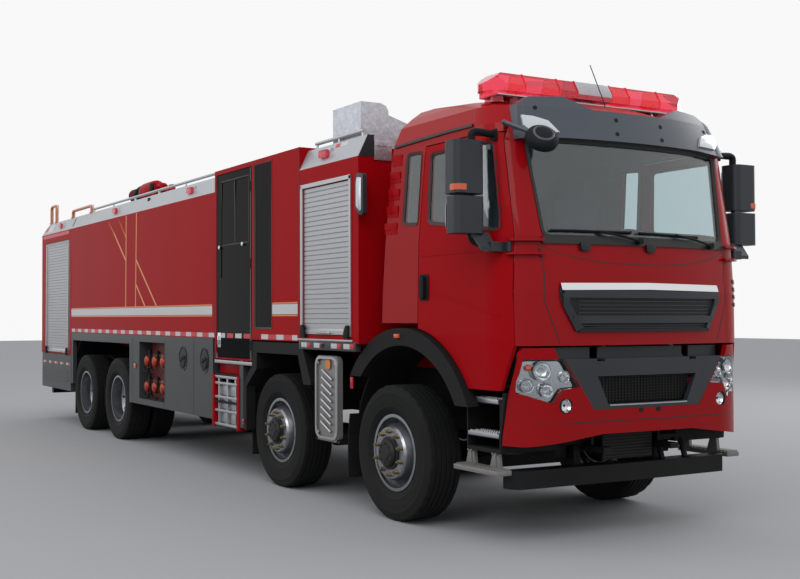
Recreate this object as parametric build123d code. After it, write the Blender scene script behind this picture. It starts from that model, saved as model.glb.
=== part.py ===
from build123d import *
import os
from math import cos, pi, sin

# Foam fire engine on a four-axle chassis. Millimetres, +X forward, +Y left, +Z up.
# The drawing is laid out with X = 0 at the first axle; save() moves it so that the
# origin is on the ground under the middle of the whole vehicle.

# Lengths along the vehicle
front_overhang = 1520
first_gap = 1950
middle_gap = 4600
rear_gap = 1400
rear_overhang = 2280
first_axle = 0
second_axle = first_axle - first_gap
third_axle = second_axle - middle_gap
fourth_axle = third_axle - rear_gap
rear_end = fourth_axle - rear_overhang
origin_shift = (-rear_end - front_overhang) / 2

# Widths (half widths from the middle plane)
body_half = 1250
cab_half = 1145
steer_wheel_y = 1033
twin_wheel_y = 1080

# Clearances
seat_gap = 0.3
door_gap = 8
run_gap = 0.3

# Tyres and wheels
tyre_radius = 525
tyre_width = 310
tread_width = 262
bead_width = 228
rim_radius = 286
flange_radius = 298.5
flange_thick = 12
rim_wall = 12
disc_offset = 166
disc_thick = 13
hub_radius = 105
drum_radius = 212
drum_wall = 14
spindle_radius = 48
hand_hole_count = 10
hand_hole_radius = 17
hand_hole_circle = 243
kingpin_y = 850
kingpin_radius = 22
eye_radius = 46
eye_half_height = 55
axle_height = tyre_radius

# Chassis frame
rail_outer_y = 430
rail_flange = 80
rail_wall = 9
rail_low = 790
rail_top = 1060
rail_front = 1180
rail_rear = rear_end + 250
subframe_top = 1150
crossmember_depth = 120
crossmember_length = 70

# Cab
cab_low = 1380
cab_floor_low = 1530
cab_floor_top = 1570
cab_wall = 45
cab_skirt_low = 1075
arch_x = 150
arch_z = 560
arch_radius = 933
arch_inner = 800
arch_gap = 12
tilt_x = 1430
tilt_z = 1120
tilt_y = 440
tilt_pin = 20

# Superstructure
locker_front = -380
crew_front = -1400
crew_step = -2390
crew_rear = -3290
tank_rear = -8580
panel_low = 1360
panel_top = 2880
roof_edge_top = 3060
roof_edge_in = 90
roof_deck = 2960
crew_low = 1152
crew_top = 3091
crew_wall = 50


def block(x, y, z):
    """A box between pairs of limits."""
    sides = [abs(pair[1] - pair[0]) for pair in (x, y, z)]
    middle = [(pair[0] + pair[1]) / 2 for pair in (x, y, z)]
    return Pos(*middle) * Box(*sides)


def flat(points, radius=0):
    """A closed straight-sided outline, with all its corners rounded if asked."""
    face = make_face(Polyline(*points, close=True))
    return fillet(face.vertices(), radius) if radius else face


def across(outline, y_from, y_to):
    """An outline in (x, z) drawn out along Y."""
    return Pos(0, y_from, 0) * extrude(Plane.XZ * outline, amount=y_to - y_from, dir=(0, 1, 0))


def along(outline, x_from, x_to):
    """An outline in (y, z) drawn out along X."""
    return Pos(x_from, 0, 0) * extrude(Plane.YZ * outline, amount=x_to - x_from, dir=(1, 0, 0))


def upward(outline, z_from, z_to):
    """An outline in (x, y) drawn out along Z."""
    return Pos(0, 0, z_from) * extrude(outline, amount=z_to - z_from, dir=(0, 0, 1))


def rod(start, end, radius):
    """A round bar from one point to another."""
    start, end = Vector(*start), Vector(*end)
    way = end - start
    base = (Align.CENTER, Align.CENTER, Align.MIN)
    return Plane(origin=start, z_dir=way) * Cylinder(radius, way.length, align=base)


def turned(points, y=0):
    """A ring or disc about the Y axis from an outline in (radius, y)."""
    return Pos(0, y, 0) * revolve(flat(points), Axis.Y)


def other_side(shape):
    """The same piece on the right-hand side."""
    return mirror(shape, about=Plane.XZ)


def both(shape):
    return [shape, other_side(shape)]


def save(name, *shapes):
    """Move the piece to the vehicle's own origin and write it."""
    solids = [solid for shape in shapes for solid in shape.solids()]
    moved = [Pos(origin_shift, 0, 0) * solid for solid in solids]
    export_step(Compound(moved) if len(moved) > 1 else moved[0], f"parts/{name}.step")


# Wheels

def tyre():
    half, tread, bead = tyre_width / 2, tread_width / 2, bead_width / 2
    bore = rim_radius + seat_gap
    low = flange_radius + 6
    side = [(low, bead), (low + 25, half - 14), (low + 62, half - 2), (low + 120, half), (low + 165, half - 7),
            (tyre_radius - 12, tread + 8), (tyre_radius, tread)]
    other = [(radius, -y) for radius, y in reversed(side)]
    return turned([(bore, -bead), (bore, bead)] + side + other)


def rim_barrel():
    bead, edge = bead_width / 2 + seat_gap, bead_width / 2 + flange_thick
    inner = rim_radius - rim_wall
    return turned([(inner, -edge), (flange_radius, -edge), (flange_radius, -bead), (rim_radius, -bead),
                   (rim_radius, bead), (flange_radius, bead), (flange_radius, edge), (inner, edge)])


def wheel_disc(side):
    """The dished disc of a wheel: side +1 bulges outward, -1 is dished inward."""
    outer = rim_radius - rim_wall + 1
    face, back = disc_offset, disc_offset - disc_thick
    rows = [(outer, 10), (outer, 40), (236, 62), (209, face - 18), (199, face), (hub_radius - 5, face),
            (hub_radius - 5, back), (190, back), (197, back - 14), (222, 46)]
    disc = turned([(radius, side * y) for radius, y in rows])
    holes = [rod((hand_hole_circle * cos(turn), 0, hand_hole_circle * sin(turn)),
                 (hand_hole_circle * cos(turn), side * 200, hand_hole_circle * sin(turn)),
                 hand_hole_radius)
             for turn in (2 * pi * n / hand_hole_count for n in range(hand_hole_count))]
    return disc - holes


def hub(inner_y, outer_y, bore_y):
    """A hub with its cap, closed outside, bored from the inside for the spindle."""
    bore = spindle_radius + run_gap
    cap = outer_y - 18
    return turned([(bore, inner_y), (hub_radius, inner_y), (hub_radius, cap), (hub_radius - 20, outer_y),
                   (0, outer_y), (0, bore_y), (bore, bore_y)])


def drum(inner_y, outer_y):
    inside = drum_radius - drum_wall
    return turned([(inside, inner_y), (drum_radius, inner_y), (drum_radius, outer_y),
                   (hub_radius - 5, outer_y), (hub_radius - 5, outer_y - drum_wall),
                   (inside, outer_y - drum_wall)])


steer_hub_inner = -70
steer_hub_outer = disc_offset + 44
steer_bore = 120
twin_spacing = 2 * disc_offset
twin_hub_outer = -30
twin_hub_inner = -twin_spacing - 60
twin_bore = -140


def steer_rim():
    return (rim_barrel() + wheel_disc(1) + hub(steer_hub_inner, steer_hub_outer, steer_bore)
            + drum(-110, 100))


def twin_rim():
    inner = Pos(0, -twin_spacing, 0) * (rim_barrel() + wheel_disc(1))
    return (rim_barrel() + wheel_disc(-1) + inner + hub(twin_hub_inner, twin_hub_outer, twin_bore)
            + drum(-twin_spacing - 110, -twin_spacing + 90))


def wheels():
    single, front_rim = tyre(), steer_rim()
    pair = [single, Pos(0, -twin_spacing, 0) * single]
    rear_rim = twin_rim()
    rows = [("1", first_axle, False), ("2", second_axle, False), ("3", third_axle, True),
            ("4", fourth_axle, True)]  # axle name, x, twin
    for name, x, twin in rows:
        y = twin_wheel_y if twin else steer_wheel_y
        place = Pos(x, y, axle_height)
        tyres = [place * piece for piece in (pair if twin else [single])]
        rim = place * (rear_rim if twin else front_rim)
        for side in ("left", "right"):
            turn = (lambda shape: shape) if side == "left" else other_side
            save(f"tyre_{name}_{side}", *[turn(piece) for piece in tyres])
            save(f"rim_{name}_{side}", turn(rim))


# Steering knuckles and axles

fork_thick = 50
web_y = 55
web_thick = 30


def knuckle(x):
    """The fork on the kingpin, with the spindle that carries the hub."""
    low, high = axle_height - eye_half_height, axle_height + eye_half_height
    fork_low, fork_high = low - run_gap - fork_thick, high + run_gap + fork_thick
    web = kingpin_y + web_y
    pin = rod((x, kingpin_y, fork_low), (x, kingpin_y, fork_high), kingpin_radius)
    ears = [rod((x, kingpin_y, z), (x, kingpin_y, z + fork_thick), eye_radius - 2)
            for z in (fork_low, fork_high - fork_thick)]
    arms = [block((x - 40, x + 40), (kingpin_y, web + web_thick), (z, z + fork_thick))
            for z in (fork_low, fork_high - fork_thick)]
    plate = block((x - 40, x + 40), (web, web + web_thick), (fork_low, fork_high))
    spindle = rod((x, web + 5, axle_height), (x, steer_wheel_y + steer_bore - 5, axle_height),
                  spindle_radius)
    arm = block((x - 190, x - 30), (kingpin_y - 70, kingpin_y - 30), (fork_low, fork_low + 22))
    link = block((x - 60, x), (kingpin_y - 60, kingpin_y), (fork_low, fork_low + 22))
    return pin + ears + arms + plate + spindle + arm + link


beam_drop = 120
beam_half_width = 40
beam_depth = 95
spring_y = 472
spring_half_width = 42


def steer_beam(x):
    """A dropped forged beam from kingpin eye to kingpin eye."""
    high = axle_height + 42
    low = high - beam_depth
    drop = beam_drop
    top = [(-kingpin_y, high), (-650, high), (-600, high - drop), (600, high - drop), (650, high),
           (kingpin_y, high)]
    under = [(kingpin_y, low + 15), (640, low), (580, low - drop), (-580, low - drop), (-640, low),
             (-kingpin_y, low + 15)]
    beam = along(flat(top + under), x - beam_half_width, x + beam_half_width)
    z = (axle_height - eye_half_height, axle_height + eye_half_height)
    eyes = [rod((x, y, z[0]), (x, y, z[1]), eye_radius) for y in (kingpin_y, -kingpin_y)]
    bores = [rod((x, y, z[0] - 5), (x, y, z[1] + 5), kingpin_radius + run_gap)
             for y in (kingpin_y, -kingpin_y)]
    return beam + eyes - bores


spring_half_length = 760
spring_end_z = 770


def steer_spring(x, y):
    """A pack of leaves bowed down on to its axle, thick in the middle and thin at its eyes."""
    seat = axle_height + 42 - beam_drop
    low = ThreePointArc((x - spring_half_length, spring_end_z - 16), (x, seat),
                        (x + spring_half_length, spring_end_z - 16))
    high = ThreePointArc((x + spring_half_length, spring_end_z), (x, seat + 95),
                         (x - spring_half_length, spring_end_z))
    outline = make_face([low, Line(low @ 1, high @ 0), high, Line(high @ 1, low @ 0)])
    pad = block((x - 90, x + 90), (y - spring_half_width, y + spring_half_width), (seat - 12, seat + 110))
    return across(outline, y - spring_half_width, y + spring_half_width) + pad


bogie_x = (third_axle + fourth_axle) / 2
tube_radius = 72


def drive_axle(x):
    """A tube axle with its round gear case in the middle and spindles in the hubs."""
    reach = twin_wheel_y + twin_bore - 5
    spindle = rod((x, -reach, axle_height), (x, reach, axle_height), spindle_radius)
    flange = twin_wheel_y + twin_hub_inner - 12
    tube = rod((x, -flange, axle_height), (x, flange, axle_height), tube_radius)
    case = rod((x - 110, 0, axle_height + 10), (x + 110, 0, axle_height + 10), 225)
    nose = rod((x + 100, 0, axle_height + 60), (x + 330, 0, axle_height + 60), 95)
    return spindle + tube + case + nose


def bogie_spring(y):
    """One pack each side over both rear axles, on a pivot under the frame."""
    z_end, z_mid = axle_height + tube_radius + 5, axle_height + 150
    half = rear_gap / 2 + 90
    high = ThreePointArc((bogie_x - half, z_end + 40), (bogie_x, z_mid + 80), (bogie_x + half, z_end + 40))
    low = ThreePointArc((bogie_x + half, z_end), (bogie_x, z_mid - 60), (bogie_x - half, z_end))
    face = make_face([high, Line(high @ 1, low @ 0), low, Line(low @ 1, high @ 0)])
    return across(face, y - spring_half_width, y + spring_half_width)


def axles():
    steer = []
    for x in (first_axle, second_axle):
        springs = [steer_spring(x, y) for y in (spring_y, -spring_y)]
        steer.append(steer_beam(x) + springs)
    springs = [bogie_spring(y) for y in (spring_y, -spring_y)]
    seats = [block((x - 50, x + 50), (y - 45, y + 45), (axle_height, axle_height + tube_radius + 20))
             for x in (third_axle, fourth_axle) for y in (spring_y, -spring_y)]
    bogie = drive_axle(third_axle) + drive_axle(fourth_axle) + seats + springs
    save("axles", *steer, bogie)
    for name, x in (("1", first_axle), ("2", second_axle)):
        piece = knuckle(x)
        save(f"knuckle_{name}_left", piece)
        save(f"knuckle_{name}_right", other_side(piece))


# Chassis frame

crossmember_places = (1080, 760, -760, -1620, -2560, -3500, -4500, -5480, -6230, -7215, -8250, -9000,
                      -9700)
engine_x = (-360, 700)
engine_half = 330
engine_z = (640, 1400)
engine_foot_x = (-260, 600)
engine_foot_z = (850, 930)
cooler_x = (1212, 1300)
cooler_half = 390
cooler_z = (560, 1362)


def frame_rails():
    inner = rail_outer_y - rail_flange
    web = rail_outer_y - rail_wall
    channel = flat([(inner, rail_low), (rail_outer_y, rail_low), (rail_outer_y, rail_top),
                    (inner, rail_top), (inner, rail_top - rail_wall), (web, rail_top - rail_wall),
                    (web, rail_low + rail_wall), (inner, rail_low + rail_wall)])
    rail = along(channel, rail_rear, rail_front)
    frame = rail + other_side(rail)
    mid = (rail_low + rail_top) / 2
    for x in crossmember_places:
        frame += block((x - crossmember_length / 2, x + crossmember_length / 2), (-web - 2, web + 2),
                       (mid - crossmember_depth / 2, mid + crossmember_depth / 2))
    runner = block((rail_rear, locker_front - 20), (inner, rail_outer_y), (rail_top - 1, subframe_top))
    frame += [runner, other_side(runner)]
    hangers = [axle + end for axle in (first_axle, second_axle) for end in (spring_half_length, -spring_half_length)]
    for x in hangers:
        hanger = block((x - 35, x + 35), (rail_outer_y - 2, spring_y + spring_half_width),
                       (spring_end_z + seat_gap, rail_low + 150))
        frame += [hanger, other_side(hanger)]
    pivot_low = axle_height + 150 + 80 + seat_gap
    saddle = block((bogie_x - 130, bogie_x + 130), (rail_outer_y - 2, spring_y + spring_half_width),
                   (pivot_low, rail_low + 150))
    frame += [saddle, other_side(saddle)]
    return frame


ear_thick = 20
arm_thick = 34
ear_radius = 42


def tilt_ears():
    """Forked brackets on the front of the frame that hold the cab's tilt pins."""
    ears = []
    for offset in (-(arm_thick / 2 + 3 + ear_thick), arm_thick / 2 + 3):
        y = tilt_y + offset
        plate = across(flat([(rail_front - 90, rail_low + 40), (rail_front - 90, rail_top - 20),
                             (tilt_x - 10, tilt_z + 30), (tilt_x + 30, tilt_z), (tilt_x, tilt_z - 40)]),
                       y, y + ear_thick)
        ears.append(plate)
    base = block((rail_front - 90, rail_front + 25), (rail_outer_y - 2, tilt_y + arm_thick / 2 + 10),
                 (rail_low + 45, rail_top - 30))
    front = block((rail_front - 5, rail_front + 25), (rail_outer_y - 70, tilt_y + arm_thick / 2 + 10),
                  (rail_low + 45, rail_top - 30))
    hole = rod((tilt_x, tilt_y - 80, tilt_z), (tilt_x, tilt_y + 80, tilt_z), tilt_pin + run_gap)
    return ears[0] + ears[1] + base + front - hole


bumper_bracket_y = 245
bumper_bracket_z = (850, 920)
tow_bore = 26
tow_z = (625, 665)
tow_reach = 40
front_tow = (1405, 320)
rear_tow = (rear_end + 230, 290)


def bumper_brackets():
    """Flat bars from the front crossmember to the back of the bumper."""
    start = crossmember_places[0] + crossmember_length / 2 - 1
    y = (bumper_bracket_y, bumper_bracket_y + 40)
    rear = bumper_end_x + 60
    return block((start, rear), y, bumper_bracket_z) + (block((rear - 1, 1600), y, bumper_bracket_z)
                                                        & upward(bumper_face(bumper_wall + seat_gap), 800, 1000))


def tow_eyes():
    """Flat eyes with an upright pin hole, two in front and two behind, hung from the end crossmembers."""
    low, high = tow_z
    x, y = front_tow
    front = across(flat([(1050, 870), (1050, 980), (1180, 980), (1290, 760), (1290, high - 1), (1212, high - 1),
                         (1150, 800)]), y - 10, y + 10)
    front += block((1212, x + tow_reach), (y - tow_reach, y + tow_reach), tow_z)
    front -= rod((x, y, low - 5), (x, y, high + 5), tow_bore)
    x, y = rear_tow
    back = crossmember_places[-1]
    rear = across(flat([(back + 30, 870), (back + 30, 980), (rail_rear, 980), (x - 30, 760), (x - 30, high - 1),
                        (x + 120, high - 1), (back - 60, 800)]), y + 28, y + tow_reach)
    rear += block((x - tow_reach, x + 125), (y - tow_reach, y + tow_reach), tow_z)
    rear -= rod((x, y, low - 5), (x, y, high + 5), tow_bore)
    return front, rear


cab_rest_x = -120
cab_rest_y = 390


def cab_rests():
    post = block((cab_rest_x - 60, cab_rest_x + 60), (cab_rest_y - 40, cab_rest_y + 40),
                 (rail_top - 1, cab_floor_low - seat_gap))
    return post


def chassis():
    frame = frame_rails()
    for piece in (tilt_ears(), cab_rests(), bumper_brackets(), *tow_eyes()):
        frame += [piece, other_side(piece)]
    save("frame_rails", frame)
    body = block(engine_x, (-engine_half, engine_half), engine_z)
    reach = rail_outer_y - rail_wall - seat_gap
    feet = [block((x - 45, x + 45), (-reach, reach), engine_foot_z) for x in engine_foot_x]
    narrow, shoulder = bumper_bracket_y - 5, bumper_bracket_z[1] + seat_gap
    cooler = along(flat([(-narrow, cooler_z[0]), (narrow, cooler_z[0]), (narrow, shoulder), (cooler_half, shoulder),
                         (cooler_half, cooler_z[1]), (-cooler_half, cooler_z[1]), (-cooler_half, shoulder),
                         (-narrow, shoulder)]), *cooler_x)
    save("engine", body + feet, cooler)


# Cab hull: ruled sections of lines and arcs

cab_sections = (
    # z, rear x, front middle x, corner x, corner y, side start x, half width, share of a wall that lowers z
    (1050, -215, 1508, 1440, 860, 1130, cab_half, 0),
    (1750, -180, 1504, 1432, 870, 1130, cab_half, 0),
    (2130, -140, 1490, 1402, 862, 1122, cab_half, 0),
    (2790, -65, 1385, 1285, 905, 1010, 1130, 0),
    (2920, -50, 1350, 1240, 880, 960, 1112, 0.4),
    (3060, -45, 1270, 1150, 830, 900, 1050, 0.6),
    (3140, -35, 1090, 850, 800, 560, 960, 0.9),
    (3200, -20, 700, 300, 760, 120, 880, 1),
    (3235, 40, 350, 200, 560, 100, 700, 1),
)
visor_sections = (
    # the same columns
    (2780, 800, 1450, 1345, 905, 1100, 1150, 0),
    (3040, 800, 1360, 1235, 880, 1000, 1090, 0),
    (3200, 800, 1290, 1150, 840, 930, 1040, 0),
)


def cab_outline(row, inset):
    z, rear, front, corner_x, corner_y, side_x, half, share = row
    rear, front, half = rear + inset, front - inset, half - inset
    corner_x, corner_y, side_x = corner_x - 0.9 * inset, corner_y - 0.45 * inset, side_x - 0.3 * inset
    bulge = 0.71
    mid_x = side_x + bulge * (corner_x - side_x)
    mid_y = corner_y + bulge * (half - corner_y)
    nose = ThreePointArc((corner_x, -corner_y), (front, 0), (corner_x, corner_y))
    left = ThreePointArc((corner_x, corner_y), (mid_x, mid_y), (side_x, half))
    right = ThreePointArc((side_x, -half), (mid_x, -mid_y), (corner_x, -corner_y))
    edges = [nose, left, Line((side_x, half), (rear, half)), Line((rear, half), (rear, -half)),
             Line((rear, -half), (side_x, -half)), right]
    return Pos(0, 0, z - share * inset) * make_face(edges)


def cab_hull(inset=0, rows=cab_sections):
    return loft([cab_outline(row, inset) for row in rows], ruled=True)


door_front_top = 1212
door_front_mid = 1332
door_front_low = 1345
door_rear_low = 300
door_rear_mid = 335
door_rear_top = 408
door_top = 2850
door_corner = 1270
belt_z = 2130

door_outline = [(door_rear_low, cab_skirt_low), (door_corner, cab_skirt_low), (door_front_low, cab_low),
                (door_front_mid, belt_z), (door_front_top, door_top), (door_rear_top, door_top),
                (door_rear_mid, belt_z)]
window_outline = [(455, 2275), (980, 2215), (1262, 2165), (1168, 2785), (475, 2785)]
quarter_outline = [(112, 2292), (308, 2278), (350, 2815), (160, 2825)]
screen_outline = [(848, 2122), (908, 2800), (-908, 2800), (-848, 2122)]
skirt_thick = 22
glass_depth = 10
glass_thick = 8


def grown(points, amount):
    return offset(flat(points), amount=amount, kind=Kind.INTERSECTION)


door_axis = (1325, 1085)
hinge_pin = 6
hinge_eye = 16
hinge_z = (2020, 2085)
lug_thick = 16
lug_gap = 6


def hinge_lugs():
    """Two plates on the front pillar with the door's hinge pin between them."""
    x, y = door_axis
    plan = flat([(x - 8, y - 1), (x + 5, y - 10), (x + 17, y - 20), (x + 25, y - 85), (x + 75, y - 225),
                 (x + 118, y - 215), (x + 98, y - 105), (x + 22, y + 12), (x - 8, y + 14)])
    low, high = hinge_z[0] - lug_gap, hinge_z[1] + lug_gap
    lugs = [upward(plan, low - lug_thick, low), upward(plan, high, high + lug_thick)]
    pin = rod((x, y, low - lug_thick / 2), (x, y, high + lug_thick / 2), hinge_pin)
    return [lugs[0] + pin + lugs[1]]


def arch_cut(radius, y_from, y_to):
    return rod((arch_x, y_from, arch_z), (arch_x, y_to, arch_z), radius)


def cab():
    outer = cab_hull()
    inner = cab_hull(cab_wall)
    lower_room = block((-400, 2000), (-1300, 1300), (900, cab_floor_top))
    cavity = inner - lower_room
    shell = outer - block((-400, 2000), (-1300, 1300), (900, cab_low)) - cavity
    below_floor = (inner & block((-400, 2000), (-1300, 1300), (900, cab_floor_low)))
    shell -= below_floor
    shell -= block((-400, 1150), (-1300, 1300), (900, cab_floor_low))
    screen = along(flat(screen_outline, 60), 1000, 1700)
    shell -= screen
    door_left = across(grown(door_outline, door_gap), 900, 1300)
    door_right = across(grown(door_outline, door_gap), -1300, -900)
    shell -= [door_left, door_right, across(flat(quarter_outline, 30), -1300, 1300)]
    arm = across(flat([(tilt_x + 36, tilt_z - 20), (tilt_x + 36, tilt_z + 20), (tilt_x - 190, tilt_z + 45),
                       (tilt_x - 190, cab_floor_low + 5), (tilt_x - 245, cab_floor_low + 5),
                       (tilt_x - 245, tilt_z - 10), (tilt_x - 20, tilt_z - 34)]),
                 tilt_y - arm_thick / 2, tilt_y + arm_thick / 2)
    pin = rod((tilt_x, tilt_y - arm_thick / 2 - 3 - ear_thick, tilt_z),
              (tilt_x, tilt_y + arm_thick / 2 + 3 + ear_thick, tilt_z), tilt_pin)
    lugs = hinge_lugs()[0] - cab_hull(cab_wall / 2)
    for piece in both(arm) + both(pin) + both(lugs):
        shell += piece
    save("cab_shell", shell)

    pane_out, pane_in = cab_hull(glass_depth), cab_hull(glass_depth + glass_thick)
    pane = pane_out - pane_in
    front = pane & along(offset(flat(screen_outline, 60), amount=-seat_gap), 1000, 1700)
    quarter_pane = pane & across(offset(flat(quarter_outline, 30), amount=-seat_gap), 900, 1300)
    save("cab_glass", front, *both(quarter_pane))

    skin = outer - inner
    leaf = skin & across(flat(door_outline), 900, 1300)
    leaf -= arch_cut(arch_radius + arch_gap, 800, 1300)
    thick_skirt = cab_hull(skirt_thick) & block((-400, 2000), (0, 1300), (900, cab_low + 20))
    leaf -= thick_skirt
    window = across(flat(window_outline, 40), 900, 1300)
    leaf -= window
    glass = pane & across(offset(flat(window_outline, 40), amount=-seat_gap), 900, 1300)
    for side, turn in (("left", lambda shape: shape), ("right", other_side)):
        save(f"door_{side}", turn(leaf), turn(glass))


mirror_x = (1080, 1250)
mirror_y = (1215, 1460)
mirror_z = (2140, 2770)


def mirrors():
    """The two-part mirror head and its arms, carried by the door."""
    main = up_block(mirror_x, mirror_y, (2410, mirror_z[1]), 55)
    wide = up_block((mirror_x[0] + 20, mirror_x[1]), mirror_y, (mirror_z[0], 2390), 50)
    x = (mirror_x[0] + mirror_x[1]) / 2
    y = mirror_y[0] + 60
    post = rod((x, y, mirror_z[0] - 30), (x, y, mirror_z[1] + 70), 16)
    top = rod((x, y, mirror_z[1] + 60), (x, 1080, mirror_z[1] + 60), 16)
    axis_x, axis_y = door_axis
    low = block((axis_x - 110, axis_x - 30), (cab_half - 90, mirror_y[0]), hinge_z)
    low += across(flat([(x - 30, mirror_z[0] - 22), (x + 30, mirror_z[0] - 22), (axis_x - 32, hinge_z[0] + 4),
                        (axis_x - 32, hinge_z[0] + 30), (x + 60, mirror_z[0] + 8), (x - 30, mirror_z[0] + 8)]),
                  mirror_y[0] - 40, y + 20)
    low += block((axis_x - 40, axis_x), (axis_y - hinge_eye + 1, axis_y + hinge_eye - 1), hinge_z)
    low += rod((axis_x, axis_y, hinge_z[0]), (axis_x, axis_y, hinge_z[1]), hinge_eye)
    low -= rod((axis_x, axis_y, hinge_z[0] - 1), (axis_x, axis_y, hinge_z[1] + 1), hinge_pin + run_gap)
    head = main + wide + post + (top + low - cab_hull(-2 * seat_gap))
    for side, turn in (("left", lambda shape: shape), ("right", other_side)):
        save(f"mirror_{side}", turn(head))


def up_block(x, y, z, radius):
    face = flat([(x[0], y[0]), (x[1], y[0]), (x[1], y[1]), (x[0], y[1])], radius)
    return upward(face, z[0], z[1])


def cab_fittings():
    band = along(flat([(-985, 2795), (-975, 2890), (-925, 3050), (-810, 3118), (-555, 3130), (-335, 3036),
                       (335, 3036), (555, 3130), (810, 3118), (925, 3050), (975, 2890), (985, 2795),
                       (646, 2814), (-646, 2814)]), 1000, 1700)
    visor = (cab_hull(0, visor_sections) - cab_hull(visor_wall, visor_sections)) & band
    visor -= cab_hull(-seat_gap)
    visor -= [across(grown(door_outline, door_gap), *y) for y in ((900, 1300), (-1300, -900))]
    save("cab_visor", visor, corner_mirror())
    grille = along(flat([(760, 1770), (745, 1680), (620, 1480), (-620, 1480), (-745, 1680), (-760, 1770)]),
                   1380, 1700)
    grille = (grille & cab_hull(-12)) - cab_hull(-seat_gap)
    save("front_grille", grille)
    light_bar()
    seats = []
    for y in (560, -560):
        base = block((250, 640), (y - 190, y + 190), (cab_floor_top + seat_gap, 1900))
        cushion = block((200, 720), (y - 250, y + 250), (1899, 2030))
        back = across(flat([(120, 1950), (250, 1950), (140, 2560), (40, 2560)]), y - 240, y + 240)
        head = across(flat([(60, 2559), (130, 2559), (110, 2740), (30, 2740)]), y - 130, y + 130)
        seats.append(base + cushion + back + head)
    save("cab_seats", *seats)
    dash = across(flat([(1080, 1700), (1330, cab_floor_top + seat_gap), (1400, cab_floor_top + seat_gap),
                        (1370, 2105), (1150, 2105), (1020, 2030), (1010, 1850)]), -dash_half, dash_half)
    save("dashboard", dash & cab_hull(cab_wall + seat_gap))


dash_half = 880
visor_wall = 75
mirror_head = (1440, -900, 2765)
mirror_turn = (0.72, -0.25, 0.62)
mirror_pillar = (1180, -980, 2893)


def corner_mirror():
    """The round mirror over the right front corner, on an arm from the pillar."""
    head = Plane(origin=mirror_head, z_dir=mirror_turn)
    base = (Align.CENTER, Align.CENTER, Align.MIN)
    shell = head * Cylinder(112, 34, align=base) + head * Pos(0, 0, 33) * Cone(112, 70, 44, align=base)
    end = [place + 40 * way for place, way in zip(mirror_head, mirror_turn)]
    knee = (mirror_pillar[0] + 100, mirror_pillar[1] - 105, mirror_pillar[2] + 10)
    arm = rod(mirror_pillar, knee, 17) + rod(knee, end, 15) + Pos(*knee) * Sphere(17)
    return shell + (arm - cab_hull(-2 * seat_gap))


bar_x = 877
bar_half = 996
bar_z = (3160, 3332)


def light_bar():
    """The lens with sloping sides and pointed ends, its base and its feet."""
    low, high = bar_z
    plan = flat([(bar_x + x, y) for x, y in ((-125, -850), (-60, -960), (0, -bar_half), (60, -960), (125, -850),
                                             (125, 850), (60, 960), (0, bar_half), (-60, 960), (-125, 850))])
    lens = upward(plan, low + 36, high)
    lens &= across(flat([(bar_x - 125, low + 36), (bar_x - 125, low + 90), (bar_x - 78, high), (bar_x + 78, high),
                         (bar_x + 125, low + 90), (bar_x + 125, low + 36)]), -bar_half - 1, bar_half + 1)
    lens &= along(flat([(-bar_half - 1, low + 36), (-bar_half - 1, low + 80), (-860, high), (860, high),
                        (bar_half + 1, low + 80), (bar_half + 1, low + 36)]), 700, 1100)
    base = block((bar_x - 90, bar_x + 90), (-920, 920), (low, low + 37))
    feet = [block((bar_x - 45, bar_x + 45), (y - 35, y + 35), (3040, low + 1)) for y in (620, -620)]
    save("light_bar", (lens + base + feet) - cab_hull(-seat_gap))


# Front bumper and lamps

bumper_end_x = 1220
bumper_low = 772
bumper_end_low = 700
bumper_top = 1272
bumper_wall = 40
bumper_corner = 1342
tongue_top = 1366
grille_low = 940
grille_top = 1290
fog_place = (734, 974)
fog_radius = 48


def bumper_face(inset=0):
    nose = ThreePointArc((1500 - inset, -690), (1520 - inset, 0), (1500 - inset, 690))
    left = ThreePointArc((1500 - inset, 690), (1450 - inset * 0.9, 905 - inset * 0.5),
                         (1362 - inset * 0.8, 1030 - inset * 0.7))
    right = mirror(left, about=Plane.XZ)
    end = (bumper_end_x, 1088 - inset)
    edges = [nose, left, Line(left @ 1, end), Line(end, (end[0], -end[1])),
             Line((end[0], -end[1]), right @ 1), right]
    return make_face(edges)


centre_outline = [(-752, grille_top), (-503, grille_low), (503, grille_low), (752, grille_top)]
lamp_outline = [(1012, 1288), (750, 1288), (622, 1098), (765, 1084), (828, 985), (1042, 1060), (1040, 1140)]
tongue_outline = [(1076, 1255), (1056, 1300), (1012, tongue_top), (828, tongue_top), (790, 1280), (790, 1255)]
end_line = [(1228, 600), (1240, 760), (door_corner + 16, cab_skirt_low - 10), (bumper_corner, bumper_top + 5)]


def bumper():
    skin = upward(bumper_face(), 640, 1500) - upward(bumper_face(bumper_wall), 600, 1600)
    body = skin & block((1100, 1700), (-1300, 1300), (600, bumper_top))
    tongue = skin & along(flat(tongue_outline), 1200, 1700)
    body += both(tongue)
    lamps = along(flat(lamp_outline), 1200, 1700)
    fog = rod((1300, *fog_place), (1700, *fog_place), fog_radius)
    body -= [along(flat(centre_outline), 1200, 1700), lamps, other_side(lamps), fog, other_side(fog)]
    body -= along(flat([(-1100, 600), (-1100, bumper_end_low), (-1000, bumper_end_low), (-420, bumper_low),
                        (420, bumper_low), (1000, bumper_end_low), (1100, bumper_end_low), (1100, 600)]), 1150, 1700)
    corner = across(flat(end_line + [(bumper_corner, 1400), (1100, 1400), (1100, 600)]), -1300, 1300)
    save("front_bumper", body - corner)
    save("bumper_grille", bumper_insert())
    lamp = along(offset(flat(lamp_outline), amount=-1), 1200, 1700)
    lamp &= upward(bumper_face(1), 600, 1400) - upward(bumper_face(bumper_wall + 30), 500, 1500)
    lamp &= block((1290, 1700), (0, 1300), (600, 1400))
    fog_lens = rod((1440, *fog_place), (1486, *fog_place), fog_radius - 1)
    save("lamps", *both(lamp), *both(fog_lens))


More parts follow.
